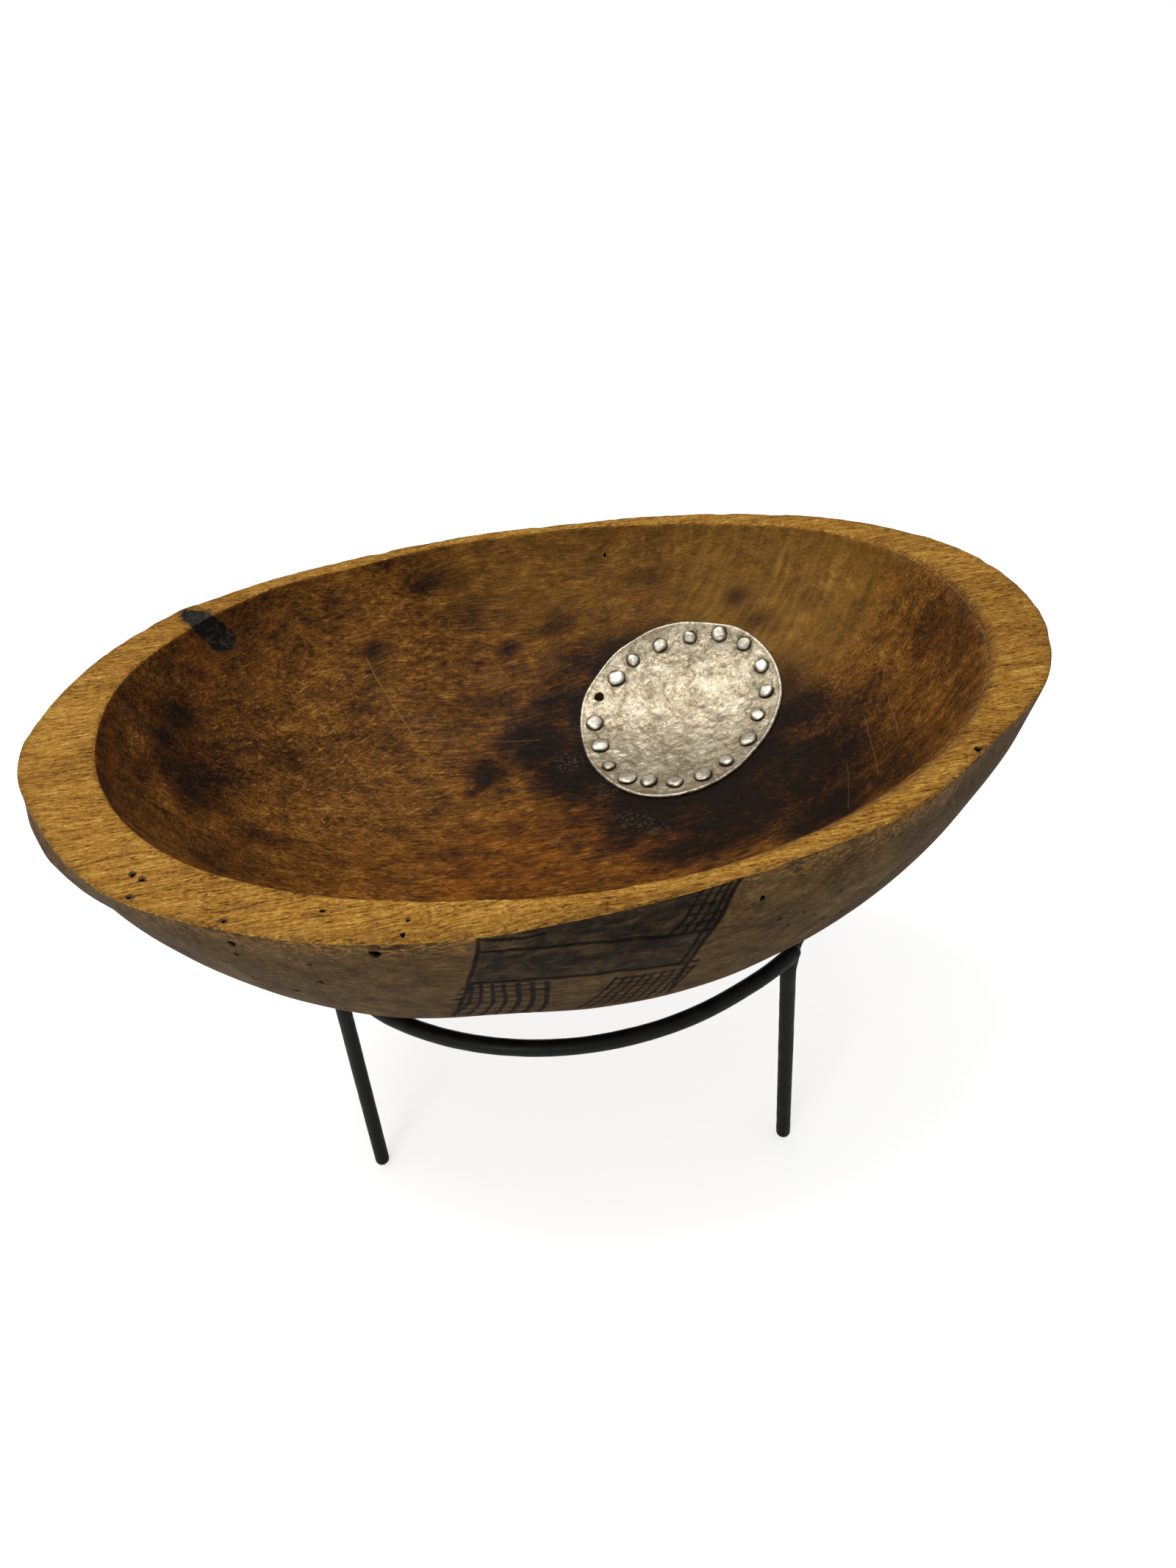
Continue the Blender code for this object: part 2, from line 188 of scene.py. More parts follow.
def build_bowl():
    phi = angles()
    n_phi = len(phi)
    r_out, r_in = outline_out(phi), outline_in(phi)
    rows, kind, edge = [], [], []

    out_levels = levels(DEPTH_OUT, *OUT_POWER, 160.0, spaced((50, 0.6), (70, 0.9), (400, 3.3)))
    in_levels = levels(DEPTH_IN, *IN_POWER, 140.0, spaced((3.6, 0.6), (9, 1.1), (400, 2.9)))

    def outer(s):
        r = r_out * s
        x = r * np.cos(phi) + FOOT_SHIFT[0] * (1 - s)
        y = r * np.sin(phi) + FOOT_SHIFT[1] * (1 - s)
        return np.stack([x, y, np.full(n_phi, RIM_Z) + fall(DEPTH_OUT, *OUT_POWER, s)], 1)

    def inner(s):
        r = r_in * s
        return np.stack(
            [r * np.cos(phi), r * np.sin(phi), np.full(n_phi, RIM_Z) + fall(DEPTH_IN, *IN_POWER, s)], 1
        )

    for s in out_levels[::-1]:
        rows.append(outer(s))
        kind.append(0)
    ends = np.array([0, 0.5, 1.0, 1.6, 2.3, 3.2])
    width = r_out - r_in
    fit = np.minimum(1.0, width / 8.0)
    for d in ends:
        rows.append(np.stack([(r_out - d * fit) * np.cos(phi), (r_out - d * fit) * np.sin(phi), np.full(n_phi, RIM_Z)], 1))
        kind.append(1)
    mid = 9
    for k in range(1, mid):
        a, b = r_out - 3.2 * fit, r_in + 3.2 * fit
        r = a + (b - a) * k / mid
        rows.append(np.stack([r * np.cos(phi), r * np.sin(phi), np.full(n_phi, RIM_Z)], 1))
        kind.append(1)
    for d in ends[::-1]:
        rows.append(np.stack([(r_in + d * fit) * np.cos(phi), (r_in + d * fit) * np.sin(phi), np.full(n_phi, RIM_Z)], 1))
        kind.append(1)
    for s in in_levels:
        rows.append(inner(s))
        kind.append(2)
    grid = np.stack(rows)  # rows, columns, 3
    kind = np.array(kind)
    return phi, grid, kind, len(out_levels)


PHI, GRID, KIND, N_OUT = build_bowl()
ROWS, COLS = GRID.shape[:2]
N_IN = int(np.argmax(KIND == 2))  # first row of the hollow; the row before it is the rim's inner edge


def grid_normals(grid):
    a = np.roll(grid, -1, 1) - np.roll(grid, 1, 1)
    n = np.cross(a, np.gradient(grid, axis=0))
    return n / (np.linalg.norm(n, axis=-1, keepdims=True) + 1e-12)


# The wall is fuller than its plain profile on the near right side, between the stand's ring and the rim.
FULLER = (0, 0, 0, 0, 0, 0, 0, 0, 0, 0, 0, 0, 0, 1.3, 0.3, 1.0, 0, -0.4, 2.3, 3.9, 3.9, 1.9, 3.0, -0.6)
z = GRID[:N_OUT, :, 2]
belt = ramp(z, 137, 152) * (1 - ramp(z, 200, 219))
GRID[:N_OUT] += grid_normals(GRID)[:N_OUT] * (table_at(FULLER, PHI)[None, :] * belt)[..., None]
# An axe cut slopes outward below the rim at the left end.
turn = np.degrees(PHI) % 360
flank = np.exp(-(((turn - 193.5) / 7.5) ** 4))
below = ramp(RIM_Z - GRID[:N_OUT, :, 2], 0.5, 9) * (1 - ramp(RIM_Z - GRID[:N_OUT, :, 2], 22, 48))
GRID[:N_OUT] += grid_normals(GRID)[:N_OUT] * (4.2 * flank[None, :] * below)[..., None]
print("bowl grid", ROWS, COLS, "triangles", 2 * ROWS * COLS)

step = np.linalg.norm(np.diff(GRID, axis=0), axis=-1)
run = np.vstack([np.zeros(COLS), np.cumsum(step, 0)])
FROM_OUT = np.abs(run - run[N_OUT])  # distance from the rim's outer edge, along the surface
FROM_IN = np.abs(run - run[N_IN - 1])  # and from its inner edge
P0 = GRID.reshape(-1, 3).copy()
NORMAL = grid_normals(GRID)
X, Y, Z = GRID[..., 0].copy(), GRID[..., 1].copy(), GRID[..., 2].copy()
OUTSIDE = (np.arange(ROWS) < N_OUT)[:, None] & np.ones(COLS, bool)[None]
INSIDE = (np.arange(ROWS) >= N_IN)[:, None] & np.ones(COLS, bool)[None]
ON_RIM = ~OUTSIDE & ~INSIDE


def field(size, octaves=3, seed=0):
    return fractal(P0, size, octaves, seed).reshape(ROWS, COLS)


move = np.zeros((ROWS, COLS))  # along the normal
# tool marks: shallow scoops left by the adze
scoop = field((34, 26, 22), 2, 3)
move += np.where(OUTSIDE, 0.55 * scoop * ramp(FROM_OUT, 2, 14) * ramp(Z, 140, 150), 0)
move += np.where(INSIDE, 0.5 * field((30, 26, 26), 2, 9) * ramp(FROM_IN, 2, 16), 0)
move += np.where(ON_RIM, 0.28 * field((26, 14, 26), 2, 15), 0)
# the hollow keeps clear of the repair's sheet, and the outside keeps clear of the stand
patch_near = spot(X, Y, 66, 52, 62, 56, 0, 0.12)
move = np.where(INSIDE, move * (1 - patch_near), move)
move = np.where(OUTSIDE & (Z < 170) & (spot(X, Y, 66, 60, 66, 60, 0, 0.1) > 0), 0, move)

# ---- cut panel on the near side, in (along the bowl, down from the rim) mm -----------------
LEFT_EDGE = ((-31.6, 0.8), (-37.5, 24.8), (-42.5, 45.0), (-47.8, 66.0))
RIGHT_EDGE = ((50.0, 0.8), (44.0, 13.2), (37.7, 23.5), (31.1, 42.8), (26.6, 71.3))
RIGHT_EDGE_2 = ((47.0, 0.8), (41.3, 12.2), (35.3, 21.5), (29.6, 38.0))


def between(a, b, t):
    return (a[0] + (b[0] - a[0]) * t, a[1] + (b[1] - a[1]) * t)


def panel_cuts():
    """Each cut: its points, half width and depth, mm."""
    cuts = [
        (LEFT_EDGE, 0.85, 0.5),
        (RIGHT_EDGE, 1.0, 0.75),
        (RIGHT_EDGE_2, 0.7, 0.4),
        (((-32.0, 2.1), (-18.0, 4.4), (-12.0, 4.0)), 0.8, 0.5),
        (((-32.8, 8.7), (-8.8, 11.8), (14.0, 14.9), (39.5, 19.4)), 0.8, 0.55),
        (((-37.8, 29.3), (-14.8, 30.0), (8.8, 32.5), (35.5, 39.7)), 0.95, 0.7),
    ]
    # left block: long cuts bending down and out, crossed by five
    tops = ((-37.7, 30.5), (-34.8, 31.0), (-31.1, 31.7), (-27.4, 32.0), (-23.0, 32.4), (-18.7, 32.8), (-14.1, 33.1))
    ends = ((-47.5, 63.5), (-42.9, 66.0), (-38.4, 68.0), (-34.2, 70.0), (-30.0, 72.0), (-25.4, 74.0), (-20.4, 76.0))
    for a, b in zip(tops, ends):
        bend = (a[0] * 0.62 + b[0] * 0.38 + 1.3, a[1] * 0.5 + b[1] * 0.5)
        cuts.append(((a, bend, b), 0.75 if a[0] < -25 else 1.0, 0.5))
    for k, (a, b) in enumerate(
        (((-41.6, 33.0), (-13.4, 34.2)), ((-43.2, 37.4), (-14.6, 38.8)), ((-44.4, 42.6), (-16.0, 44.2)),
         ((-45.6, 48.2), (-17.0, 50.2)), ((-47.0, 54.8), (-18.2, 57.6)), ((-48.0, 61.0), (-19.0, 64.6)))
    ):  # fmt: skip
        cuts.append(((a, b), 0.6, 0.4))
    # right block: slanting cuts, crossed by eight
    top_left, top_right, low_left, low_right = (8.0, 37.4), (34.4, 43.4), (-5.0, 68.8), (25.8, 71.3)
    for k in range(9):
        t = k / 8
        cuts.append(((between(top_left, top_right, t), between(low_left, low_right, t)), 0.6, 0.42))
    for k in range(8):
        t = (k + 0.2) / 7.6
        a, b = between(top_left, low_left, t), between(top_right, low_right, t)
        cuts.append(((a, b), 0.55, 0.38))
    # small upper right block
    for off, low in ((-4.0, 17.5), (-7.4, 17.0), (-11.0, 15.5)):
        cuts.append((((48.0 + off, 1.2), (41.8 + off, 12.0), (37.6 + off, low)), 0.6, 0.36))
    for w in (4.2, 8.0, 11.8, 15.2):
        cuts.append((((34.0 - w * 0.2, w - 1.4), (48.6 - w * 0.45, w + 0.6)), 0.55, 0.34))
    # faint leftovers of a worn grid
    for x in (-22.0, -16.5, 2.0, 9.0, 15.5, 20.5, 25.0):
        cuts.append((((x, 2.0), (x - 1.6, 9.5 if x < 0 else 13.5)), 0.5, 0.16))
    for w in (4.6, 8.2, 11.6):
        cuts.append((((0.0, w - 1.0), (26.0, w + 2.0)), 0.5, 0.14))
    return cuts


# cut: where the cut lines are painted near black, as painted shade in the grooves; the shape also gets their shallow
# depth
cut = np.zeros((ROWS, COLS))
near = OUTSIDE & (FROM_OUT < 82) & (Y < -60) & (X > -62) & (X < 62)
ii, jj = np.nonzero(near)
px, pw = X[near], FROM_OUT[near]
wander = 0.5 * lumps(np.column_stack([px, pw, 0 * px]), 9, 41), 0.45 * lumps(np.column_stack([px, pw, 0 * px]), 8, 42)
qx, qw = px + wander[0], pw + wander[1]
amount, depth = np.zeros(len(px)), np.zeros(len(px))
rough_cut = 0.75 + 0.35 * lumps(np.column_stack([px, pw, 0 * px]), 3.2, 43)
for points, half, deep in panel_cuts():
    for a, b in zip(points, points[1:]):
        d, _ = segment_distance(qx, qw, *a, *b)
        here = 1 - ramp(d, half * 0.35, half * 1.35)
        depth = np.maximum(depth, here * deep * rough_cut)
        amount = np.maximum(amount, here * min(1.0, deep / 0.42) * (0.85 + 0.15 * rough_cut))
cut[ii, jj] = amount
move[ii, jj] -= depth * ramp(pw, 0.3, 1.2)

# soot rubbed into the panel: strongest between the second and third lines
left_x = np.interp(FROM_OUT, [p[1] for p in LEFT_EDGE], [p[0] for p in LEFT_EDGE])
right_x = np.interp(FROM_OUT, [p[1] for p in RIGHT_EDGE], [p[0] for p in RIGHT_EDGE])
third = np.interp(X, (-37.8, -14.8, 8.8, 35.5), (29.3, 30.0, 32.5, 39.7))
soot = ramp(X, left_x - 1.5, left_x + 2.5) * (1 - ramp(X, right_x - 1.5, right_x + 1.5))
soot = soot * (1 - 0.78 * ramp(FROM_OUT, third - 0.5, third + 2.0)) * (1 - ramp(FROM_OUT, 66, 80))
soot = np.where(OUTSIDE & (Y < -50), soot, 0)

# ---- knot on the inner edge at the left rear ---------------------------------------------
KNOT = ((-146.2, 95.2, 221.5), (-139.8, 88.4, 219.5), (-134.0, 86.8, 212.0))
knot_d = np.full((ROWS, COLS), 1e9)
for a, b, ra, rb in ((KNOT[0], KNOT[1], 3.0, 6.4), (KNOT[1], KNOT[2], 6.4, 7.0)):
    a, b = np.array(a), np.array(b)
    t = np.clip(((GRID - a) @ (b - a)) / ((b - a) @ (b - a)), 0, 1)
    d = np.linalg.norm(GRID - a - t[..., None] * (b - a), axis=-1) - (ra + (rb - ra) * t)
    knot_d = np.minimum(knot_d, d)
knot_d += 1.2 * field(7, 2, 51)
knot = 1 - ramp(knot_d, -0.9, 0.9)
knot = np.where(OUTSIDE, 0, knot)
move += np.where(OUTSIDE, 0, -1.5 * knot * (0.8 + 0.45 * field(6, 2, 52)) + 0.5 * np.exp(-((knot_d - 2.2) ** 2) / 3.5))

# ---- worn and chipped edges of the rim ----------------------------------------------------
deg = (np.degrees(PHI) + 180) % 360 - 180
ring = np.stack([150 * np.cos(PHI), 150 * np.sin(PHI), 0 * PHI], 1)
chip = np.clip(fractal(ring, 7, 3, 61) * 1.5, 0, 1)
fine = np.clip(lumps(ring, 2.6, 62), -1, 1)
rough_edge = np.exp(-(((deg + 113) / 22) ** 4))  # the battered stretch of the near edge
round_out = 1.3 + 0.5 * fine + 1.6 * chip + rough_edge * (1.8 + 2.4 * chip + 1.1 * fine)
round_out = np.clip(round_out, 0.7, 6.0)
band = ramp(deg, -84, -58) * (1 - ramp(deg, 4, 30))  # rubbed bevel inside the right end
round_in = np.clip(1.4 + 0.35 * fine + 0.8 * chip + 4.6 * band, 0.7, 6.6)
width = np.linalg.norm(GRID[N_OUT] - GRID[N_IN - 1], axis=-1)
round_out = np.minimum(round_out, width * 0.45)
round_in = np.minimum(round_in, width * 0.45)
radial = np.stack([np.cos(PHI), np.sin(PHI), 0 * PHI], 1)
down = np.array((0, 0, -1.0))
shift = NORMAL * move[..., None]
outer_side = OUTSIDE | ON_RIM
e = np.where(outer_side, FROM_OUT, 1e9)
worn_out = np.clip(1 - e / round_out[None, :], 0, 1) ** 2
shift += worn_out[..., None] * (0.41 * round_out)[None, :, None] * ((-radial + down) * 0.7071)[None]
inner_side = INSIDE | ON_RIM
e = np.where(inner_side, FROM_IN, 1e9)
worn_in = np.clip(1 - e / round_in[None, :], 0, 1) ** 2
shift += worn_in[..., None] * (0.41 * round_in)[None, :, None] * ((radial + down) * 0.7071)[None]
GRID = GRID + shift

# ---- where the repair sits
PATCH_AT = (66.0, 52.0)
PATCH_AXIS = np.array((-0.19, -0.34, 0.92)) / np.linalg.norm((-0.19, -0.34, 0.92))


def inner_height(x, y):
    s = np.hypot(x, y) / outline_in(np.arctan2(y, x))
    return RIM_Z + fall(DEPTH_IN, *IN_POWER, s)


def inner_normal(x, y, e=1.5):
    gx = (inner_height(x + e, y) - inner_height(x - e, y)) / (2 * e)
    gy = (inner_height(x, y + e) - inner_height(x, y - e)) / (2 * e)
    n = np.stack([-gx, -gy, np.ones_like(gx)], -1)
    return n / np.linalg.norm(n, axis=-1, keepdims=True)


PATCH_ORIGIN = np.array((*PATCH_AT, float(inner_height(*np.array(PATCH_AT)))))
PATCH_U = np.array((1.0, 0, 0)) - PATCH_AXIS * PATCH_AXIS[0]
PATCH_U /= np.linalg.norm(PATCH_U)
PATCH_V = np.cross(PATCH_AXIS, PATCH_U)


# ---- stains and wear that the wood's colour follows ----------------------------------------
blot = field((16, 13, 12), 3, 71)
small = field((6, 5, 5), 3, 72)
stain = np.zeros((ROWS, COLS))
for cx, cy, cz, half_x, half_y, power in (
    (-152, 48, 199, 12, 8, 0.8), (-156, 34, 197, 7, 5, 0.9), (-145, 21, 184, 14, 17, 0.85),
    (-138, 31, 178, 9, 10, 0.65), (-157, 18, 196, 4, 11, 0.75), (-110, 49, 166, 20, 9, 0.45),
    (-101, 39, 159, 10, 5, 0.45), (-122, -3, 167, 20, 6, 0.6), (-131, -29, 180, 13, 13, 0.6),
    (-72, 100, 187, 4, 4, 0.85), (-81, 78, 168, 8, 3, 0.5), (-79, 64, 160, 8, 5, 0.35),
    (-64, 60, 154, 6, 4, 0.6), (-37, 120, 207, 14, 4, 0.5), (-44, 118, 206, 5, 3, 0.7),
    (-22, 112, 191, 8, 6, 0.5), (-58, 120, 220, 5, 3, 0.75), (-8, 100, 176, 4, 3, 0.6),
    (-24, 80, 159, 14, 7, 0.35), (-26, 45, 147, 9, 6, 0.7), (-31, 36, 146, 5, 4, 0.7),
    (-84, 110, 207, 7, 5, 0.4), (-121, 98, 214, 14, 11, 0.4), (20, 104, 182, 8, 5, 0.6),
    (30, 92, 170, 18, 7, 0.55), (15, 74, 156, 12, 11, 0.7), (0, 57, 149, 15, 13, 0.95),
    (13, 35, 145, 15, 16, 0.95), (103, 88, 192, 6, 3, 0.65), (110, 78, 183, 9, 5, 0.6),
    (113, 48, 166, 8, 12, 0.6), (118, 31, 164, 12, 11, 0.8), (111, -4, 159, 27, 25, 0.85),
    (76, -13, 149, 31, 18, 1), (44, -4, 145, 22, 14, 1), (32, 11, 144, 11, 11, 0.9),
    (107, -40, 164, 19, 15, 0.9), (58, -31, 148, 22, 9, 0.85), (132, 16, 170, 19, 14, 0.45),
    (131, -36, 177, 16, 27, 0.5), (172, 3, 213, 11, 19, 0.25), (61, 108, 199, 11, 3, 0.45),
    (60, 16, 146, 40, 34, 0.8),
):  # fmt: skip
    off = ((X + 5 * blot - cx) / half_x) ** 2 + ((Y + 4 * small - cy) ** 2 + (GRID[..., 2] - cz) ** 2) / (1.15 * half_y) ** 2
    power *= 0.62 if cx < -50 else 1.0
    stain = np.maximum(stain, power * np.clip(1.4 - 0.85 * np.sqrt(off) + 0.16 * small, 0, 1))
stain = np.where(INSIDE, stain, 0)
# the left end of the hollow is painted darker and redder: real stain, with painted shade
left_wall_stain_and_shade = np.where(INSIDE, ramp(-X + 0.25 * Y + 6 * blot, 118, 166) * 0.95, 0)
pale = np.where(INSIDE, np.maximum(spot(X, Y, 118, 84, 52, 34, -28, 0.6), 0.5 * spot(X, Y, 40, 120, 70, 22, -6, 0.6)), 0)
warm = np.where(INSIDE, spot(X, Y, -8, -22, 90, 34, 0, 0.5), 0)
rim_in = np.where(ON_RIM, np.clip(1 - FROM_IN / np.maximum(round_in, 1)[None, :], 0, 1), 0)
worn_band = np.where(ON_RIM, rim_in * band[None, :] * 1.4, 0)
zone = np.where(ON_RIM, 1.0, np.where(OUTSIDE, 1.0 - ramp(FROM_OUT, 0.0, 1.4), 1.0 + ramp(FROM_IN, 0.0, 1.2)))
mould = np.where(INSIDE, np.maximum(spot(X, Y, 12, 42, 7, 6), np.maximum(spot(X, Y, 36, -6, 13, 6, -35), 0.6 * spot(X, Y, 26, 20, 8, 7))), 0)

outer = np.where(ON_RIM, np.clip(1 - FROM_OUT / (3.5 + 4.5 * rough_edge[None, :]), 0, 1), 0)
scrub = np.where(INSIDE, np.maximum(spot(X, Y, -98, 46, 62, 52, 10, 0.5), 0.4), 0)
d, _ = segment_distance(X, Y, -163, 26, -150, -6)
streak = np.where(INSIDE, np.exp(-((d / 3.4) ** 2)), 0)
d, _ = segment_distance(X, Y, -176, 40, -160, 60)
streak = np.maximum(streak, np.where(INSIDE, 0.5 * np.exp(-((d / 4.5) ** 2)), 0))
rubbed = 0.4 + 0.6 * np.maximum(ramp(X, 92, 100) * (1 - ramp(X, 128, 138)), 0.0) + 0.6 * np.maximum(ramp(X, 44, 62) * (1 - ramp(X, 96, 120)), rough_edge[None, :] * np.ones((ROWS, 1)))
fleck = np.where(OUTSIDE, (1 - ramp(FROM_OUT, 2.0, 13.0)) * rubbed, 0) * (1 - 0.6 * soot)

# the wood is darkest in a narrow band against the sheet: painted contact shadow under the sheet's edge, with dirt
from_sheet = np.hypot((GRID - PATCH_ORIGIN) @ PATCH_U, (GRID - PATCH_ORIGIN) @ PATCH_V) - 47.0
sheet_edge_shade_and_dirt = np.where(INSIDE, np.exp(-((np.maximum(from_sheet, 0) / 4.2) ** 2)), 0)

ATTRIBUTES = {
    "zone": zone, "cut": cut, "soot": soot, "knot": knot, "stain": stain, "leftwall_stain_and_shade": left_wall_stain_and_shade,
    "pale": pale, "warm": warm, "wornband": worn_band, "mould": mould,
    "outer": outer, "scrub": scrub, "streak": streak, "fleck": fleck, "sheet_edge_shade_and_dirt": sheet_edge_shade_and_dirt,
    "below": np.where(OUTSIDE, FROM_OUT, 0.0), "hole_shade": np.zeros((ROWS, COLS)),
}  # fmt: skip


# ---- materials ------------------------------------------------------------------------------
class Tree:
    """A small helper for building a shader's nodes in millimetres."""

    def __init__(self, name):
        self.mat = bpy.data.materials.new(name)
        self.mat.use_nodes = True
        self.nodes, self.links = self.mat.node_tree.nodes, self.mat.node_tree.links
        self.shader = self.nodes["Principled BSDF"]
        place = self.nodes.new("ShaderNodeTexCoord")
        self.place = self.vector("MULTIPLY", place.outputs["Object"], (1000, 1000, 1000))

    def put(self, socket, value):
        if isinstance(value, bpy.types.NodeSocket):
            self.links.new(value, socket)
        elif isinstance(value, (tuple, list)) and len(value) == 3 and socket.type == "RGBA":
            socket.default_value = (*value, 1.0)
        else:
            socket.default_value = value

    def math(self, operation, a, b=0.5, clamp=False):
        node = self.nodes.new("ShaderNodeMath")
        node.operation, node.use_clamp = operation, clamp
        self.put(node.inputs[0], a)
        self.put(node.inputs[1], b)
        return node.outputs[0]

    def vector(self, operation, a, b=(0, 0, 0)):
        node = self.nodes.new("ShaderNodeVectorMath")
        node.operation = operation
        self.put(node.inputs[0], a)
        self.put(node.inputs[1], b)
        return node.outputs["Value"] if operation in ("LENGTH", "DOT_PRODUCT", "DISTANCE") else node.outputs["Vector"]

    def noise(self, size, detail=3.0, rough=0.55, distort=0.0, at=None, shift=(0, 0, 0)):
        """Noise with lumps of the given size, mm: a number or three numbers."""
        size = (size,) * 3 if not isinstance(size, tuple) else size
        where = self.vector("MULTIPLY", at or self.place, tuple(1.0 / s for s in size))
        where = self.vector("ADD", where, shift)
        node = self.nodes.new("ShaderNodeTexNoise")
        self.put(node.inputs["Vector"], where)
        node.inputs["Scale"].default_value = 1.0
        node.inputs["Detail"].default_value = detail
        node.inputs["Roughness"].default_value = rough
        node.inputs["Distortion"].default_value = distort
        return node.outputs["Fac"]

    def cells(self, size, at=None, feature="F1", randomness=1.0):
        size = (size,) * 3 if not isinstance(size, tuple) else size
        where = self.vector("MULTIPLY", at or self.place, tuple(1.0 / s for s in size))
        node = self.nodes.new("ShaderNodeTexVoronoi")
        node.feature = feature
        self.put(node.inputs["Vector"], where)
        node.inputs["Scale"].default_value = 1.0
        node.inputs["Randomness"].default_value = randomness
        return node

    def step(self, value, low, high, a=0.0, b=1.0):
        node = self.nodes.new("ShaderNodeMapRange")
        node.interpolation_type = "SMOOTHSTEP"
        self.put(node.inputs["Value"], value)
        for name, v in (("From Min", low), ("From Max", high), ("To Min", a), ("To Max", b)):
            self.put(node.inputs[name], v)
        return node.outputs["Result"]

    def mix(self, share, a, b, blend="MIX"):
        node = self.nodes.new("ShaderNodeMix")
        node.data_type, node.blend_type = "RGBA", blend
        node.clamp_factor = True
        self.put(node.inputs["Factor"], share)
        self.put(node.inputs[6], a)
        self.put(node.inputs[7], b)
        return node.outputs[2]

    def blend(self, share, a, b):
        node = self.nodes.new("ShaderNodeMix")
        node.data_type = "FLOAT"
        self.put(node.inputs[0], share)
        self.put(node.inputs[2], a)
        self.put(node.inputs[3], b)
        return node.outputs[0]

    def colours(self, value, *stops):
        """A colour ramp: evenly spaced display colours from the darkest to the lightest."""
        node = self.nodes.new("ShaderNodeValToRGB")
        bar = node.color_ramp
        while len(bar.elements) < len(stops):
            bar.elements.new(0.5)
        for k, (element, stop) in enumerate(zip(bar.elements, stops)):
            element.position = k / (len(stops) - 1)
        for element, stop in zip(bar.elements, stops):
            element.color = (*rgb(*stop), 1.0)
        self.put(node.inputs["Fac"], value)
        return node.outputs["Color"]

    def total(self, start, *parts):
        """start + gain * (noise - 0.5) for each (noise, gain)."""
        for noise, gain in parts:
            start = self.math("ADD", start, self.math("MULTIPLY", self.math("SUBTRACT", noise, 0.5), gain))
        return start

    def from_points(self, points):
        """Distance to the nearest of some balls, each (point from the middle of the mouth, radius), mm."""
        nearest = None
        for at, radius in points:
            there = tuple(float(c) for c in (np.asarray(at, float) - MIDDLE))
            d = self.math("SUBTRACT", self.vector("DISTANCE", self.place, there), float(radius))
            nearest = d if nearest is None else self.math("MINIMUM", nearest, d)
        return nearest

    def attribute(self, name):
        node = self.nodes.new("ShaderNodeAttribute")
        node.attribute_name = name
        return node.outputs["Fac"]

    def bump(self, height, strength, distance, normal=None):
        node = self.nodes.new("ShaderNodeBump")
        self.put(node.inputs["Height"], height)
        self.put(node.inputs["Strength"], strength)
        node.inputs["Distance"].default_value = distance
        if normal is not None:
            self.put(node.inputs["Normal"], normal)
        return node.outputs["Normal"]

    def finish(self, colour, rough, normal=None, metal=0.0):
        self.put(self.shader.inputs["Base Color"], colour)
        self.put(self.shader.inputs["Roughness"], rough)
        self.put(self.shader.inputs["Metallic"], metal)
        if normal is not None:
            self.put(self.shader.inputs["Normal"], normal)
        return self.mat


def rgb(r, g, b, gain=1.0):
    """Display colour 0-255 to the shader's linear colour."""
    out = []
    for c in (r, g, b):
        c = c / 255.0
        out.append(min(1.0, gain * (c / 12.92 if c <= 0.04045 else ((c + 0.055) / 1.055) ** 2.4)))
    return tuple(out)


RIM_TONES = ((46, 27, 9), (90, 57, 18), (134, 91, 31), (160, 114, 43), (184, 139, 62), (206, 167, 90))
HOLLOW_TONES = ((22, 12, 5), (46, 25, 8), (76, 45, 13), (106, 66, 19), (136, 92, 33), (168, 126, 62))
OUTSIDE_TONES = ((18, 11, 4), (43, 28, 13), (67, 49, 26), (86, 66, 39), (108, 86, 52), (141, 116, 74))
SOOT_TONES = ((9, 6, 4), (20, 15, 11), (32, 25, 19), (42, 34, 27), (58, 46, 33), (100, 78, 52))


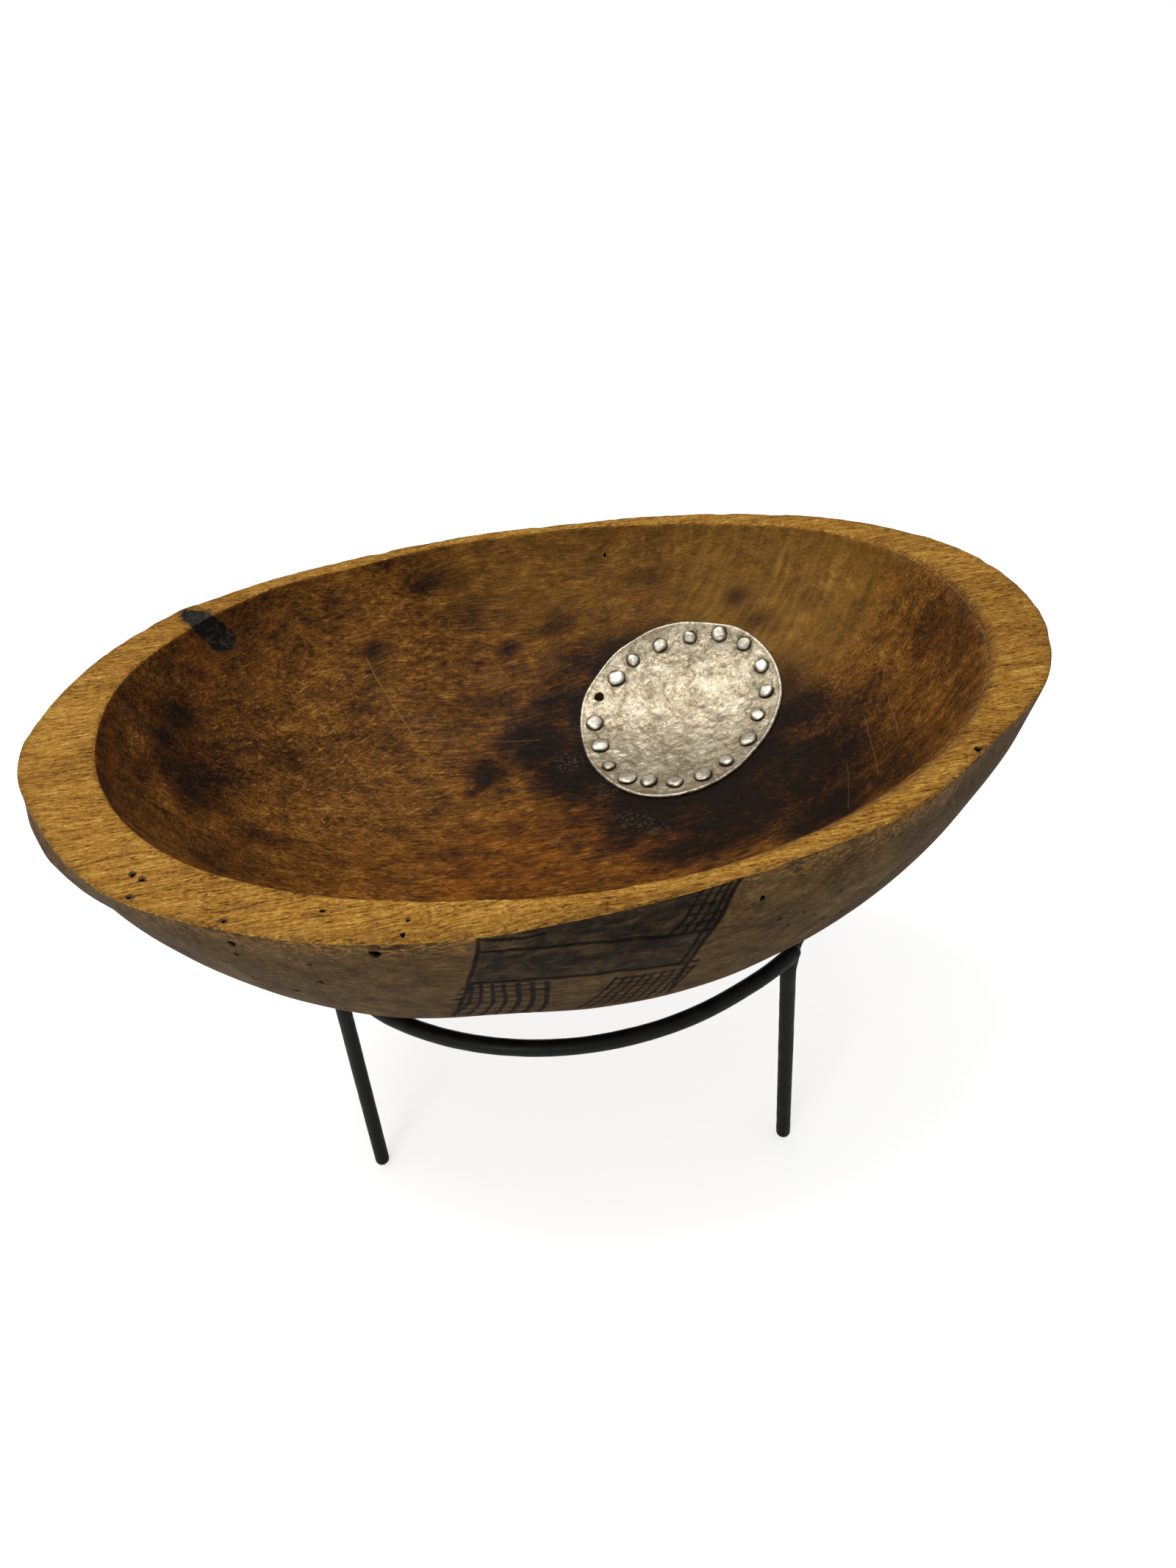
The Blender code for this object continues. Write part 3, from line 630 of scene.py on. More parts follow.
def wood_material():
    t = Tree("old_hardwood_oiled")
    a = {n: t.attribute(n) for n in ATTRIBUTES}
    a["hole_shade"] = t.step(a["hole_shade"], 0.02, 0.16)
    # the fibres run along the bowl and wander a little
    wander = t.noise(60.0, 2.0)
    sep = t.nodes.new("ShaderNodeSeparateXYZ")
    t.put(sep.inputs[0], t.place)
    lift = t.math("MULTIPLY", t.math("SUBTRACT", wander, 0.5), 18.0)
    join = t.nodes.new("ShaderNodeCombineXYZ")
    t.put(join.inputs[0], sep.outputs[0])
    t.put(join.inputs[1], t.math("ADD", sep.outputs[1], lift))
    t.put(join.inputs[2], t.math("ADD", sep.outputs[2], lift))
    along = join.outputs[0]
    fibre = t.noise((21.0, 1.0, 1.0), 3.0, 0.62, 0.2, along)
    thread = t.noise((8.0, 0.5, 0.5), 2.0, 0.6, 0.1, along, (7, 3, 1))
    bands = t.noise((80.0, 7.0, 7.0), 3.0, 0.55, 0.3, along, (3, 9, 2))
    pores = t.step(t.noise((4.6, 0.5, 0.5), 1.0, 0.5, 0.0, along, (1, 5, 8)), 0.60, 0.68)
    ticks = t.step(t.noise((3.2, 0.75, 0.75), 1.0, 0.5, 0.0, along, (9, 2, 4)), 0.62, 0.70)
    blotch = t.noise((19.0, 12.0, 14.0), 4.0, 0.62, 0.6, None, (2, 6, 1))
    mottle = t.noise((9.0, 5.0, 6.0), 4.0, 0.64, 0.5)
    grime = t.noise((3.6, 2.2, 2.6), 4.0, 0.66, 0.6, None, (4, 4, 4))
    speck = t.noise(1.3, 2.0, 0.6, 0.0, None, (2, 8, 3))
    cloud = t.noise(46.0, 3.0, 0.55, 0.4, None, (5, 1, 9))
    # short scrub marks that slant across the fibres
    turned = t.nodes.new("ShaderNodeVectorRotate")
    turned.rotation_type = "Z_AXIS"
    t.put(turned.inputs["Vector"], t.place)
    turned.inputs["Angle"].default_value = math.radians(-38)
    scrub = t.noise((9.0, 0.7, 0.9), 3.0, 0.62, 0.3, turned.outputs[0], (6, 2, 9))
    turned = t.nodes.new("ShaderNodeVectorRotate")
    turned.rotation_type = "Z_AXIS"
    t.put(turned.inputs["Vector"], t.place)
    turned.inputs["Angle"].default_value = math.radians(52)
    crossing = t.noise((8.0, 0.6, 0.8), 2.0, 0.6, 0.2, turned.outputs[0], (1, 7, 3))

    # rim: pale ochre with open grain
    tone = t.total(0.56, (bands, 0.5), (fibre, 0.95), (thread, 0.95), (speck, 0.7), (cloud, 0.45), (grime, 0.6))
    tone = t.math("SUBTRACT", tone, t.math("MULTIPLY", pores, 0.34))
    rim = t.colours(tone, *RIM_TONES)
    edge_dirt = t.math("MULTIPLY", a["outer"], t.step(grime, 0.42, 0.60))
    rim = t.mix(t.math("MULTIPLY", edge_dirt, 0.7), rim, rgb(84, 55, 27))
    rub = t.math("MULTIPLY", a["wornband"], t.step(fibre, 0.30, 0.62, 1.0, 0.55), True)
    rim = t.mix(t.math("MULTIPLY", rub, 0.9), rim, t.mix(t.step(thread, 0.42, 0.6), rgb(66, 42, 20), rgb(104, 70, 34)))

    # hollow: oiled brown; every stain lowers the same tone, so its edges break up with the texture
    tone = t.total(0.545, (blotch, 0.8), (mottle, 0.75), (grime, 0.75), (fibre, 0.85), (thread, 0.7))
    light = t.step(t.math("MAXIMUM", scrub, t.math("SUBTRACT", crossing, 0.02)), 0.56, 0.70)
    tone = t.math("ADD", tone, t.math("MULTIPLY", light, t.math("ADD", t.math("MULTIPLY", a["scrub"], 0.40), 0.05)))
    tone = t.math("SUBTRACT", tone, t.math("MULTIPLY", ticks, 0.16))
    # painted shade with stain: the hollow darkens towards its left end
    tone = t.math("SUBTRACT", tone, t.math("MULTIPLY", a["leftwall_stain_and_shade"], 0.13))
    stained = t.math("MULTIPLY", a["stain"], t.step(t.math("ADD", mottle, t.math("MULTIPLY", a["stain"], 0.3)), 0.36, 0.72, 0.45, 1.0))
    tone = t.math("SUBTRACT", tone, t.math("MULTIPLY", stained, 0.66))
    # painted shadow with dirt in the narrow band against the sheet's edge
    tone = t.math("SUBTRACT", tone, t.math("MULTIPLY", a["sheet_edge_shade_and_dirt"], t.step(grime, 0.36, 0.6, 0.22, 0.42)))
    tone = t.math("ADD", tone, t.math("MULTIPLY", a["streak"], t.step(fibre, 0.35, 0.6, 0.1, 0.30)))
    hollow = t.colours(tone, *HOLLOW_TONES)
    red = t.math("MULTIPLY", t.step(blotch, 0.44, 0.60), t.math("ADD", 0.12, t.math("MULTIPLY", a["leftwall_stain_and_shade"], 0.45)), True)
    hollow = t.mix(red, hollow, t.mix(0.75, hollow, (0.62, 0.30, 0.20), "MULTIPLY"))
    amber = t.math("MULTIPLY", a["warm"], t.step(cloud, 0.35, 0.6, 0.35, 0.85))
    hollow = t.mix(amber, hollow, t.mix(1.0, hollow, (1.12, 0.90, 0.50), "MULTIPLY"))
    # curved pale figure on the far right wall: arcs about a point beyond the rim
    off = t.vector("SUBTRACT", t.place, (40.0, 168.0, 215.0))
    reach = t.vector("LENGTH", off)
    arc_at = t.nodes.new("ShaderNodeCombineXYZ")
    t.put(arc_at.inputs[0], t.math("MULTIPLY", t.math("ADD", reach, t.math("MULTIPLY", wander, 26.0)), 0.40))
    t.put(arc_at.inputs[1], t.math("MULTIPLY", sep.outputs[2], 0.045))
    t.put(arc_at.inputs[2], t.math("MULTIPLY", sep.outputs[0], 0.03))
    figure = t.nodes.new("ShaderNodeTexNoise")
    t.put(figure.inputs["Vector"], arc_at.outputs[0])
    figure.inputs["Scale"].default_value = 1.0
    figure.inputs["Detail"].default_value = 3.0
    figure.inputs["Roughness"].default_value = 0.6
    tone = t.total(0.62, (figure.outputs["Fac"], 0.7), (mottle, 0.6), (blotch, 0.6), (thread, 0.5))
    tone = t.math("SUBTRACT", tone, t.math("MULTIPLY", stained, 0.5))
    figured = t.colours(tone, (42, 25, 8), (70, 44, 14), (98, 66, 22), (122, 86, 31), (146, 108, 45), (170, 134, 66))
    hollow = t.mix(t.math("MULTIPLY", a["pale"], t.step(blotch, 0.40, 0.62, 1.0, 0.55)), hollow, figured)
    dust = t.math("MULTIPLY", a["mould"], t.step(t.math("ADD", speck, t.math("MULTIPLY", t.math("SUBTRACT", grime, 0.5), 0.8)), 0.52, 0.66))
    hollow = t.mix(t.math("MULTIPLY", dust, 0.32), hollow, rgb(112, 98, 80))

    def scratch(colour, x0, y0, x1, y1, half, share, tint):
        """A thin straight scratch, given by its two ends in plan."""
        x0, y0, x1, y1 = x0 - MIDDLE[0], y0 - MIDDLE[1], x1 - MIDDLE[0], y1 - MIDDLE[1]
        length = math.hypot(x1 - x0, y1 - y0)
        ux, uy = (x1 - x0) / length, (y1 - y0) / length
        off = t.vector("SUBTRACT", t.place, (x0, y0, 0))
        u = t.vector("DOT_PRODUCT", off, (ux, uy, 0))
        v = t.vector("DOT_PRODUCT", off, (-uy, ux, 0))
        bow = t.math("MULTIPLY", t.math("SUBTRACT", t.noise(18.0, 1.0, 0.5, 0.0, None, (x0, y0, 1)), 0.5), 2.2)
        across = t.math("ABSOLUTE", t.math("ADD", v, bow))
        line = t.step(across, half * 0.5, half * 1.4, 1.0, 0.0)
        line = t.math("MULTIPLY", line, t.step(u, 0.0, 3.0))
        line = t.math("MULTIPLY", line, t.step(u, length - 3.0, length, 1.0, 0.0))
        line = t.math("MULTIPLY", line, t.step(thread, 0.3, 0.55, 0.35, 1.0))
        inside = t.step(a["zone"], 1.7, 1.95)
        return t.mix(t.math("MULTIPLY", t.math("MULTIPLY", line, share), inside), colour, tint)

    for x0, y0, x1, y1, half, share in (
        (-75, 99, -55, 64, 0.34, 0.75), (-100, 72, -82, 48, 0.25, 0.5), (-112, 30, -62, 74, 0.22, 0.45),
        (-116, 20, -70, 60, 0.2, 0.4), (-50, 66, 2, 58, 0.22, 0.4), (-96, 4, -52, 44, 0.2, 0.35),
        (142, -24, 150, 20, 0.22, 0.4), (128, -40, 138, 6, 0.22, 0.35), (112, -52, 124, -14, 0.2, 0.3),
        (-62, 30, -40, 4, 0.2, 0.35), (-30, 20, 4, -14, 0.18, 0.3), (150, 8, 154, 44, 0.2, 0.3),
    ):  # fmt: skip
        hollow = scratch(hollow, x0, y0, x1, y1, half, share, rgb(136, 100, 52))

    # outside: dull grey brown
    tone = t.total(0.56, (blotch, 0.7), (mottle, 0.6), (grime, 0.45), (fibre, 0.65), (thread, 0.5), (cloud, 0.5))
    tone = t.math("SUBTRACT", tone, t.math("MULTIPLY", ticks, 0.14))
    outside = t.colours(tone, *OUTSIDE_TONES)
    fleck = t.math("MULTIPLY", a["fleck"], t.step(t.math("ADD", fibre, t.math("MULTIPLY", t.math("SUBTRACT", grime, 0.5), 0.8)), 0.46, 0.56))
    outside = t.mix(fleck, outside, t.mix(t.step(thread, 0.4, 0.6), rgb(104, 72, 34), rgb(150, 112, 58)))
    tone = t.total(0.44, (fibre, 0.9), (grime, 0.5), (mottle, 0.5), (thread, 0.5))
    sooty = t.colours(tone, *SOOT_TONES)
    outside = t.mix(t.math("MULTIPLY", a["soot"], t.step(mottle, 0.36, 0.62, 0.97, 0.62)), outside, sooty)
    # painted shade: the cut lines are painted near black, as their grooves fall in shade
    outside = t.mix(t.math("MULTIPLY", t.step(a["cut"], 0.08, 0.75, 0.0, 0.97), t.step(mottle, 0.36, 0.60, 1.0, 0.86)), outside, rgb(8, 5, 3))

    edge = t.math("ADD", a["zone"], t.math("MULTIPLY", t.math("SUBTRACT", t.noise(2.4, 3.0, 0.6), 0.5), 0.6))
    wood = t.mix(t.step(edge, 0.45, 0.58), outside, rim)
    wood = t.mix(t.step(edge, 1.32, 1.50), wood, hollow)
    # knot: glossy, near black, with a crisp broken outline and a brown ring round it
    far = None
    for (p0, p1, r0, r1) in ((KNOT[0], KNOT[1], 3.0, 6.2), (KNOT[1], KNOT[2], 6.2, 6.6)):
        p0, p1 = np.array(p0) - MIDDLE, np.array(p1) - MIDDLE
        length = float(np.linalg.norm(p1 - p0))
        off = t.vector("SUBTRACT", t.place, tuple(float(c) for c in p0))
        u = t.math("DIVIDE", t.vector("DOT_PRODUCT", off, tuple(float(c) for c in (p1 - p0) / length)), length, True)
        scaled = t.nodes.new("ShaderNodeVectorMath")
        scaled.operation = "SCALE"
        scaled.inputs[0].default_value = tuple(float(c) for c in (p1 - p0))
        t.put(scaled.inputs["Scale"], u)
        d = t.vector("DISTANCE", off, scaled.outputs["Vector"])
        d = t.math("SUBTRACT", d, t.math("ADD", float(r0), t.math("MULTIPLY", u, float(r1 - r0))))
        far = d if far is None else t.math("MINIMUM", far, d)
    far = t.total(far, (t.noise(6.0, 2.0, 0.5, 0.0, None, (1, 1, 6)), 5.0), (grime, 2.4))
    not_outside = t.step(a["zone"], 0.6, 0.9)
    ring = t.math("MULTIPLY", t.step(far, 0.0, 4.5, 0.55, 0.0), not_outside)
    wood = t.mix(ring, wood, rgb(62, 36, 15))
    knot = t.math("MULTIPLY", t.step(far, -0.35, 0.35, 1.0, 0.0), not_outside)
    knot_colour = t.mix(t.step(t.noise(2.6, 3.0, 0.6), 0.50, 0.66), rgb(14, 10, 6), rgb(54, 43, 28))
    wood = t.mix(knot, wood, knot_colour)
    # painted shade: the walls of the rivet holes and worm holes are painted near black, and below lose their specular
    wood = t.mix(a["hole_shade"], wood, rgb(12, 6, 3))

    rough = t.blend(t.step(edge, 1.3, 1.6), 0.72, t.step(mottle, 0.38, 0.62, 0.44, 0.62))
    rough = t.blend(t.step(edge, 0.4, 0.65, 1.0, 0.0), rough, 0.66)
    rough = t.blend(knot, rough, 0.33)
    height = t.total(0.0, (thread, 0.9), (fibre, 1.2), (scrub, 0.25))
    height = t.math("SUBTRACT", height, t.math("MULTIPLY", pores, 0.5))
    on_rim = t.math("MULTIPLY", t.step(edge, 0.4, 0.7), t.step(edge, 1.3, 1.6, 1.0, 0.0))
    strength = t.math("ADD", t.math("MULTIPLY", on_rim, 0.12), 0.33)
    normal = t.bump(height, strength, 0.0009)
    normal = t.bump(t.noise((6.0, 3.4, 3.4), 3.0), 0.4, 0.0016, normal)
    t.put(t.shader.inputs["Specular IOR Level"], t.blend(knot, t.blend(a["hole_shade"], t.step(edge, 1.3, 1.6, 0.08, 0.10), 0.0), 0.14))
    return t.finish(wood, rough, normal)


def metal_material(name, tones, dents=0.5, rings=None):
    t = Tree(name)
    broad = t.noise(12.0, 3.0, 0.6, 0.3)
    smear = t.noise((5.0, 4.0, 5.0), 4.0, 0.66, 0.8, None, (5, 2, 2))
    fleck = t.noise(2.2, 4.0, 0.68, 0.5, None, (3, 3, 3))
    grit = t.noise(0.8, 3.0, 0.6, 0.0, None, (8, 1, 5))
    ring_shade_and_dirt = t.attribute("ring_shade_and_dirt")
    polish = t.attribute("polish")
    tone = t.total(0.60, (broad, 0.9), (smear, 0.6), (fleck, 1.15), (grit, 0.55))
    pock = t.step(fleck, 0.60, 0.68)
    tone = t.math("SUBTRACT", tone, t.math("MULTIPLY", pock, 0.22))
    # painted shade with dirt: the foot of each rivet head is darkened where it meets the sheet
    dark = t.math("MULTIPLY", ring_shade_and_dirt, 0.62)
    # on the sheet, painted shade with dirt instead: a dark ring close round each rivet head and the empty hole, fading
    # into a fainter patchy halo
    if rings:
        near = t.from_points(rings)
        near = t.math("ADD", near, t.math("MULTIPLY", t.math("SUBTRACT", fleck, 0.5), 0.5))
        dark = t.math("ADD", t.step(near, 0.25, 0.85, 0.62, 0.0), t.math("MULTIPLY", t.step(near, 0.6, 3.2, 0.22, 0.0), t.step(smear, 0.4, 0.6)))
    tone = t.math("SUBTRACT", tone, dark)
    tone = t.math("ADD", tone, t.math("MULTIPLY", polish, 0.16))
    base = t.colours(tone, *tones)
    clean = t.step(tone, 0.30, 0.72)
    rough = t.math("SUBTRACT", t.step(smear, 0.4, 0.62, 0.40, 0.56), t.math("MULTIPLY", polish, 0.08))
    metal = t.blend(clean, 0.35, 0.86)
    normal = t.bump(t.noise(4.4, 2.0, 0.5, 0.0, None, (6, 6, 1)), dents, 0.0016)
    normal = t.bump(t.noise(1.3, 3.0, 0.6), 0.35, 0.0004, normal)
    return t.finish(base, rough, normal, metal)


def paint_material(name):
    t = Tree(name)
    soft = t.noise(7.0, 3.0, 0.55)
    grain = t.noise(0.9, 2.0, 0.6, 0.0, None, (2, 2, 7))
    chips = t.step(t.noise(2.4, 4.0, 0.7, 0.4, None, (9, 3, 1)), 0.70, 0.74)
    base = t.mix(t.step(soft, 0.35, 0.7), (0.0045, 0.0045, 0.0045), (0.0075, 0.0075, 0.0072))
    base = t.mix(t.math("MULTIPLY", chips, 0.5), base, (0.035, 0.032, 0.028))
    rough = t.step(soft, 0.3, 0.7, 0.36, 0.5)
    normal = t.bump(grain, 0.25, 0.0003)
    normal = t.bump(soft, 0.35, 0.0012, normal)
    t.put(t.shader.inputs["Specular IOR Level"], 0.18)
    return t.finish(base, rough, normal)


SHEET_TONES = ((46, 37, 23), (92, 79, 57), (134, 121, 95), (167, 155, 131), (191, 181, 160), (214, 207, 190))
RIVET_TONES = ((48, 40, 28), (98, 88, 68), (146, 137, 116), (182, 174, 156), (206, 199, 184), (226, 221, 210))
WOOD = wood_material()
RIVETS = metal_material("rivet_heads", RIVET_TONES, 0.3)
PAINT = paint_material("black_satin_paint")


# ---- making meshes ------------------------------------------------------------------------------
def new_object(name, points, faces, mat, smooth=True, attributes=None):
    """Points in mm from the middle of the mouth; the object sits at the origin, its place is in its mesh."""
    mesh = bpy.data.meshes.new(name)
    co = (np.asarray(points, float) - MIDDLE) * MM
    mesh.from_pydata([tuple(p) for p in co], [], [tuple(int(i) for i in f) for f in faces])
    for key, values in (attributes or {}).items():
        layer = mesh.attributes.new(key, "FLOAT", "POINT")
        layer.data.foreach_set("value", np.asarray(values, np.float32).ravel())
    mesh.materials.append(mat)
    mesh.polygons.foreach_set("use_smooth", [smooth] * len(mesh.polygons))
    mesh.update()
    obj = bpy.data.objects.new(name, mesh)
    bpy.context.scene.collection.objects.link(obj)
    return obj


def cut_away(obj, cutter):
    """Subtracts cutter from obj and removes it."""
    tool = obj.modifiers.new("cut", "BOOLEAN")
    tool.operation, tool.solver, tool.object = "DIFFERENCE", "MANIFOLD", cutter
    bpy.context.view_layer.update()
    graph = bpy.context.evaluated_depsgraph_get()
    made = bpy.data.meshes.new_from_object(obj.evaluated_get(graph), preserve_all_data_layers=True, depsgraph=graph)
    obj.modifiers.clear()
    obj.data = made
    bpy.data.objects.remove(cutter, do_unlink=True)
    return obj


def grid_faces(rows, cols, flip=False):
    r, c = np.meshgrid(np.arange(rows - 1), np.arange(cols), indexing="ij")
    a = (r * cols + c).ravel()
    b = (r * cols + (c + 1) % cols).ravel()
    faces = np.column_stack([a, b, b + cols, a + cols])
    return faces[:, ::-1] if flip else faces


def whole_bowl():
    points = GRID.reshape(-1, 3)
    first, last = GRID[0].mean(0), GRID[-1].mean(0)
    points = np.vstack([points, first, last])
    faces = [tuple(f) for f in grid_faces(ROWS, COLS)]
    n = ROWS * COLS
    faces += [(n, (k + 1) % COLS, k) for k in range(COLS)]
    base = (ROWS - 1) * COLS
    faces += [(n + 1, base + k, base + (k + 1) % COLS) for k in range(COLS)]
    values = {}
    for key, grid in ATTRIBUTES.items():
        values[key] = np.concatenate([grid.ravel(), [grid[0].mean(), grid[-1].mean()]])
    return new_object("bowl_body_visual", points, faces, WOOD, True, values)


bowl = whole_bowl()

# rivet axes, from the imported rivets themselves
RIVET_NAMES = sorted(n for n in NODES if n.startswith("rivet_"))


def rivet_axis(name):
    co = np.array([v.co for v in NODES[name].data.vertices], float) * 1000 + MIDDLE
    centre = co.mean(0)
    _, _, v = np.linalg.svd(co - centre, full_matrices=False)
    axis = v[0] * np.sign(v[0][2])
    along = (co - centre) @ axis
    return centre, axis, along.min(), along.max(), co


AXES = {n: rivet_axis(n) for n in RIVET_NAMES}


def on_hollow(u, v):
    """Where the line along the patch's axis through its (u, v) mm meets the hollow."""
    start = PATCH_ORIGIN + np.multiply.outer(u, PATCH_U) + np.multiply.outer(v, PATCH_V)
    low, high = np.full(np.shape(u), -30.0), np.full(np.shape(u), 60.0)
    for _ in range(40):
        mid = (low + high) / 2
        p = start + mid[..., None] * PATCH_AXIS
        above = p[..., 2] > inner_height(p[..., 0], p[..., 1])
        high, low = np.where(above, mid, high), np.where(above, low, mid)
    return start + ((low + high) / 2)[..., None] * PATCH_AXIS


EMPTY = on_hollow(np.array([40.2 * math.cos(math.radians(148))]), np.array([40.2 * math.sin(math.radians(148))]))[0]
EMPTY_AXIS = inner_normal(EMPTY[:1], EMPTY[1:2])[0]


def drills(name, holes, attributes=True):
    """One cutter of separate round drills: (point, axis, radius, from, to, sides)."""
    points, faces = [], []
    for at, axis, radius, low, high, sides in holes:
        at, axis = np.asarray(at, float), np.asarray(axis, float) / np.linalg.norm(axis)
        side = np.cross(axis, (0.3, 0.9, 0.1))
        side /= np.linalg.norm(side)
        other = np.cross(axis, side)
        start = len(points)
        for end in (low, high):
            for k in range(sides):
                a = 2 * math.pi * k / sides
                wob = 1 + 0.16 * math.sin(3 * a + at[0])
                points.append(at + axis * end + radius * wob * (math.cos(a) * side + math.sin(a) * other))
        for k in range(sides):
            j = (k + 1) % sides
            faces.append((start + k, start + j, start + sides + j, start + sides + k))
        faces.append(tuple(start + k for k in reversed(range(sides))))
        faces.append(tuple(start + sides + k for k in range(sides)))
    values = {key: np.zeros(len(points)) for key in ATTRIBUTES}
    # the hole walls are marked for painted shade
    values["hole_shade"] += 1
    values["zone"] += 1
    return new_object(name, points, faces, WOOD, False, values if attributes else None)


HOLES = [(c, a, 1.7, lo - 10, hi + 10, 14) for c, a, lo, hi, _ in AXES.values()]
HOLES.append((EMPTY, EMPTY_AXIS, 1.9, -40, 25, 14))
cut_away(bowl, drills("bowl_rivet_holes", HOLES))

# the worn-through place under the repair
breach_axis = PATCH_AXIS
ring = []
for k in range(28):
    a = 2 * math.pi * k / 28
    wob = 1 + 0.10 * math.sin(2 * a + 1) + 0.06 * math.sin(5 * a)
    u, v = 20.5 * wob * math.cos(a), 12.8 * wob * math.sin(a)
    ring.append((u * math.cos(0.5) - v * math.sin(0.5), u * math.sin(0.5) + v * math.cos(0.5)))
points = [PATCH_ORIGIN + PATCH_U * u + PATCH_V * v + breach_axis * h for h in (-40, 25) for u, v in ring]
faces = [(k, (k + 1) % 28, 28 + (k + 1) % 28, 28 + k) for k in range(28)]
faces += [tuple(reversed(range(28))), tuple(range(28, 56))]
values = {key: np.zeros(len(points)) for key in ATTRIBUTES}
values["zone"] += 2
values["stain"] += 0.8
cut_away(bowl, new_object("breach", points, faces, WOOD, False, values))

# worm holes: (point, radius) on the rim, then on the outside
WORM_RIM = ((-142.5, -82.3, 1.0), (-139.1, -85.7, 0.9), (-109.8, -112.1, 0.8), (-79.1, -114.9, 0.7), (-52.7, -125.5, 0.7),
            (-54.4, -131.0, 0.8), (-142.0, -93.5, 0.9), (142.5, -88.5, 1.2), (45.0, 128.0, 0.6))  # fmt: skip
WORM_OUT = ((-109.7, -114.2, 213.9, 1.3), (-110.0, -112.6, 207.7, 0.9), (-86.1, -122.9, 208.0, 0.8), (-85.6, -119.1, 195.7, 1.1),
            (-96.5, -110.3, 184.9, 1.2), (-64.0, -131.6, 216.2, 1.6), (57.1, -128.6, 209.1, 0.9), (86.4, -118.6, 196.4, 0.8),
            (63.7, -125.2, 195.2, 0.9), (73.1, -121.9, 193.2, 0.8), (82.5, -113.1, 179.1, 0.9), (90.5, -108.6, 176.4, 1.0),
            (78.0, -118.0, 187.0, 0.7), (68.0, -122.0, 188.0, 0.7), (60.0, 118.0, 196.0, 1.0), (-40.0, 124.0, 200.0, 0.9),
            (-120.0, 110.0, 205.0, 1.0))  # fmt: skip
worms = [((x, y, RIM_Z), (0.15, 0.1, 1), r, -4, 3, 9) for x, y, r in WORM_RIM]
for x, y, zz, r in WORM_OUT:
    worms.append(((x, y, zz), (x, y, -0.35 * math.hypot(x, y)), 1.25 * r, -5, 5, 9))
worms.append(((45.5, 116.7, 208.5), (-0.3, -0.9, 0.3), 0.8, -3.5, 4, 9))
cut_away(bowl, drills("worm_holes", worms))
bowl.data.materials.clear()
bowl.data.materials.append(WOOD)
for poly in bowl.data.polygons:
    poly.use_smooth = True
    poly.material_index = 0
sharp = bowl.data.attributes.get("sharp_edge")
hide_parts("bowl_body")
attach(bowl, "bowl")


# ---- repair sheet -------------------------------------------------------------------------------
PATCH_EDGE = (49.5, 52.5, 48.8, 46.8, 46.2, 47.2, 46.3, 47.0, 48.4, 46.2, 42.8, 44.0)
HEAD_SIZE = (1.0, 0.92, 0.95, 0.95, 0.88, 1.08, 0.88, 1.1, 1.0, 1.05, 1.14, 0.82, 1.1, 1.12, 1.12, 0.82, 0.92, 0.84)
GAP, THICK = 0.3, 1.0
HEADS = []
for name, size in zip(RIVET_NAMES, HEAD_SIZE):
    c, axis, lo, hi, _ = AXES[name]
    top = c + axis * (hi - 1.5) - PATCH_ORIGIN
    HEADS.append((float(top @ PATCH_U), float(top @ PATCH_V), 3.42 * size))
# balls at the rivet heads and the empty hole; the sheet is painted dark round each, as painted shade with dirt
RINGS = [(AXES[n][0] + AXES[n][1] * (AXES[n][3] - 1.5), 3.42 * size) for n, size in zip(RIVET_NAMES, HEAD_SIZE)]
RINGS.append((EMPTY + EMPTY_AXIS * 1.3, 1.9))
SHEET = metal_material("beaten_sheet", SHEET_TONES, 0.5, RINGS)


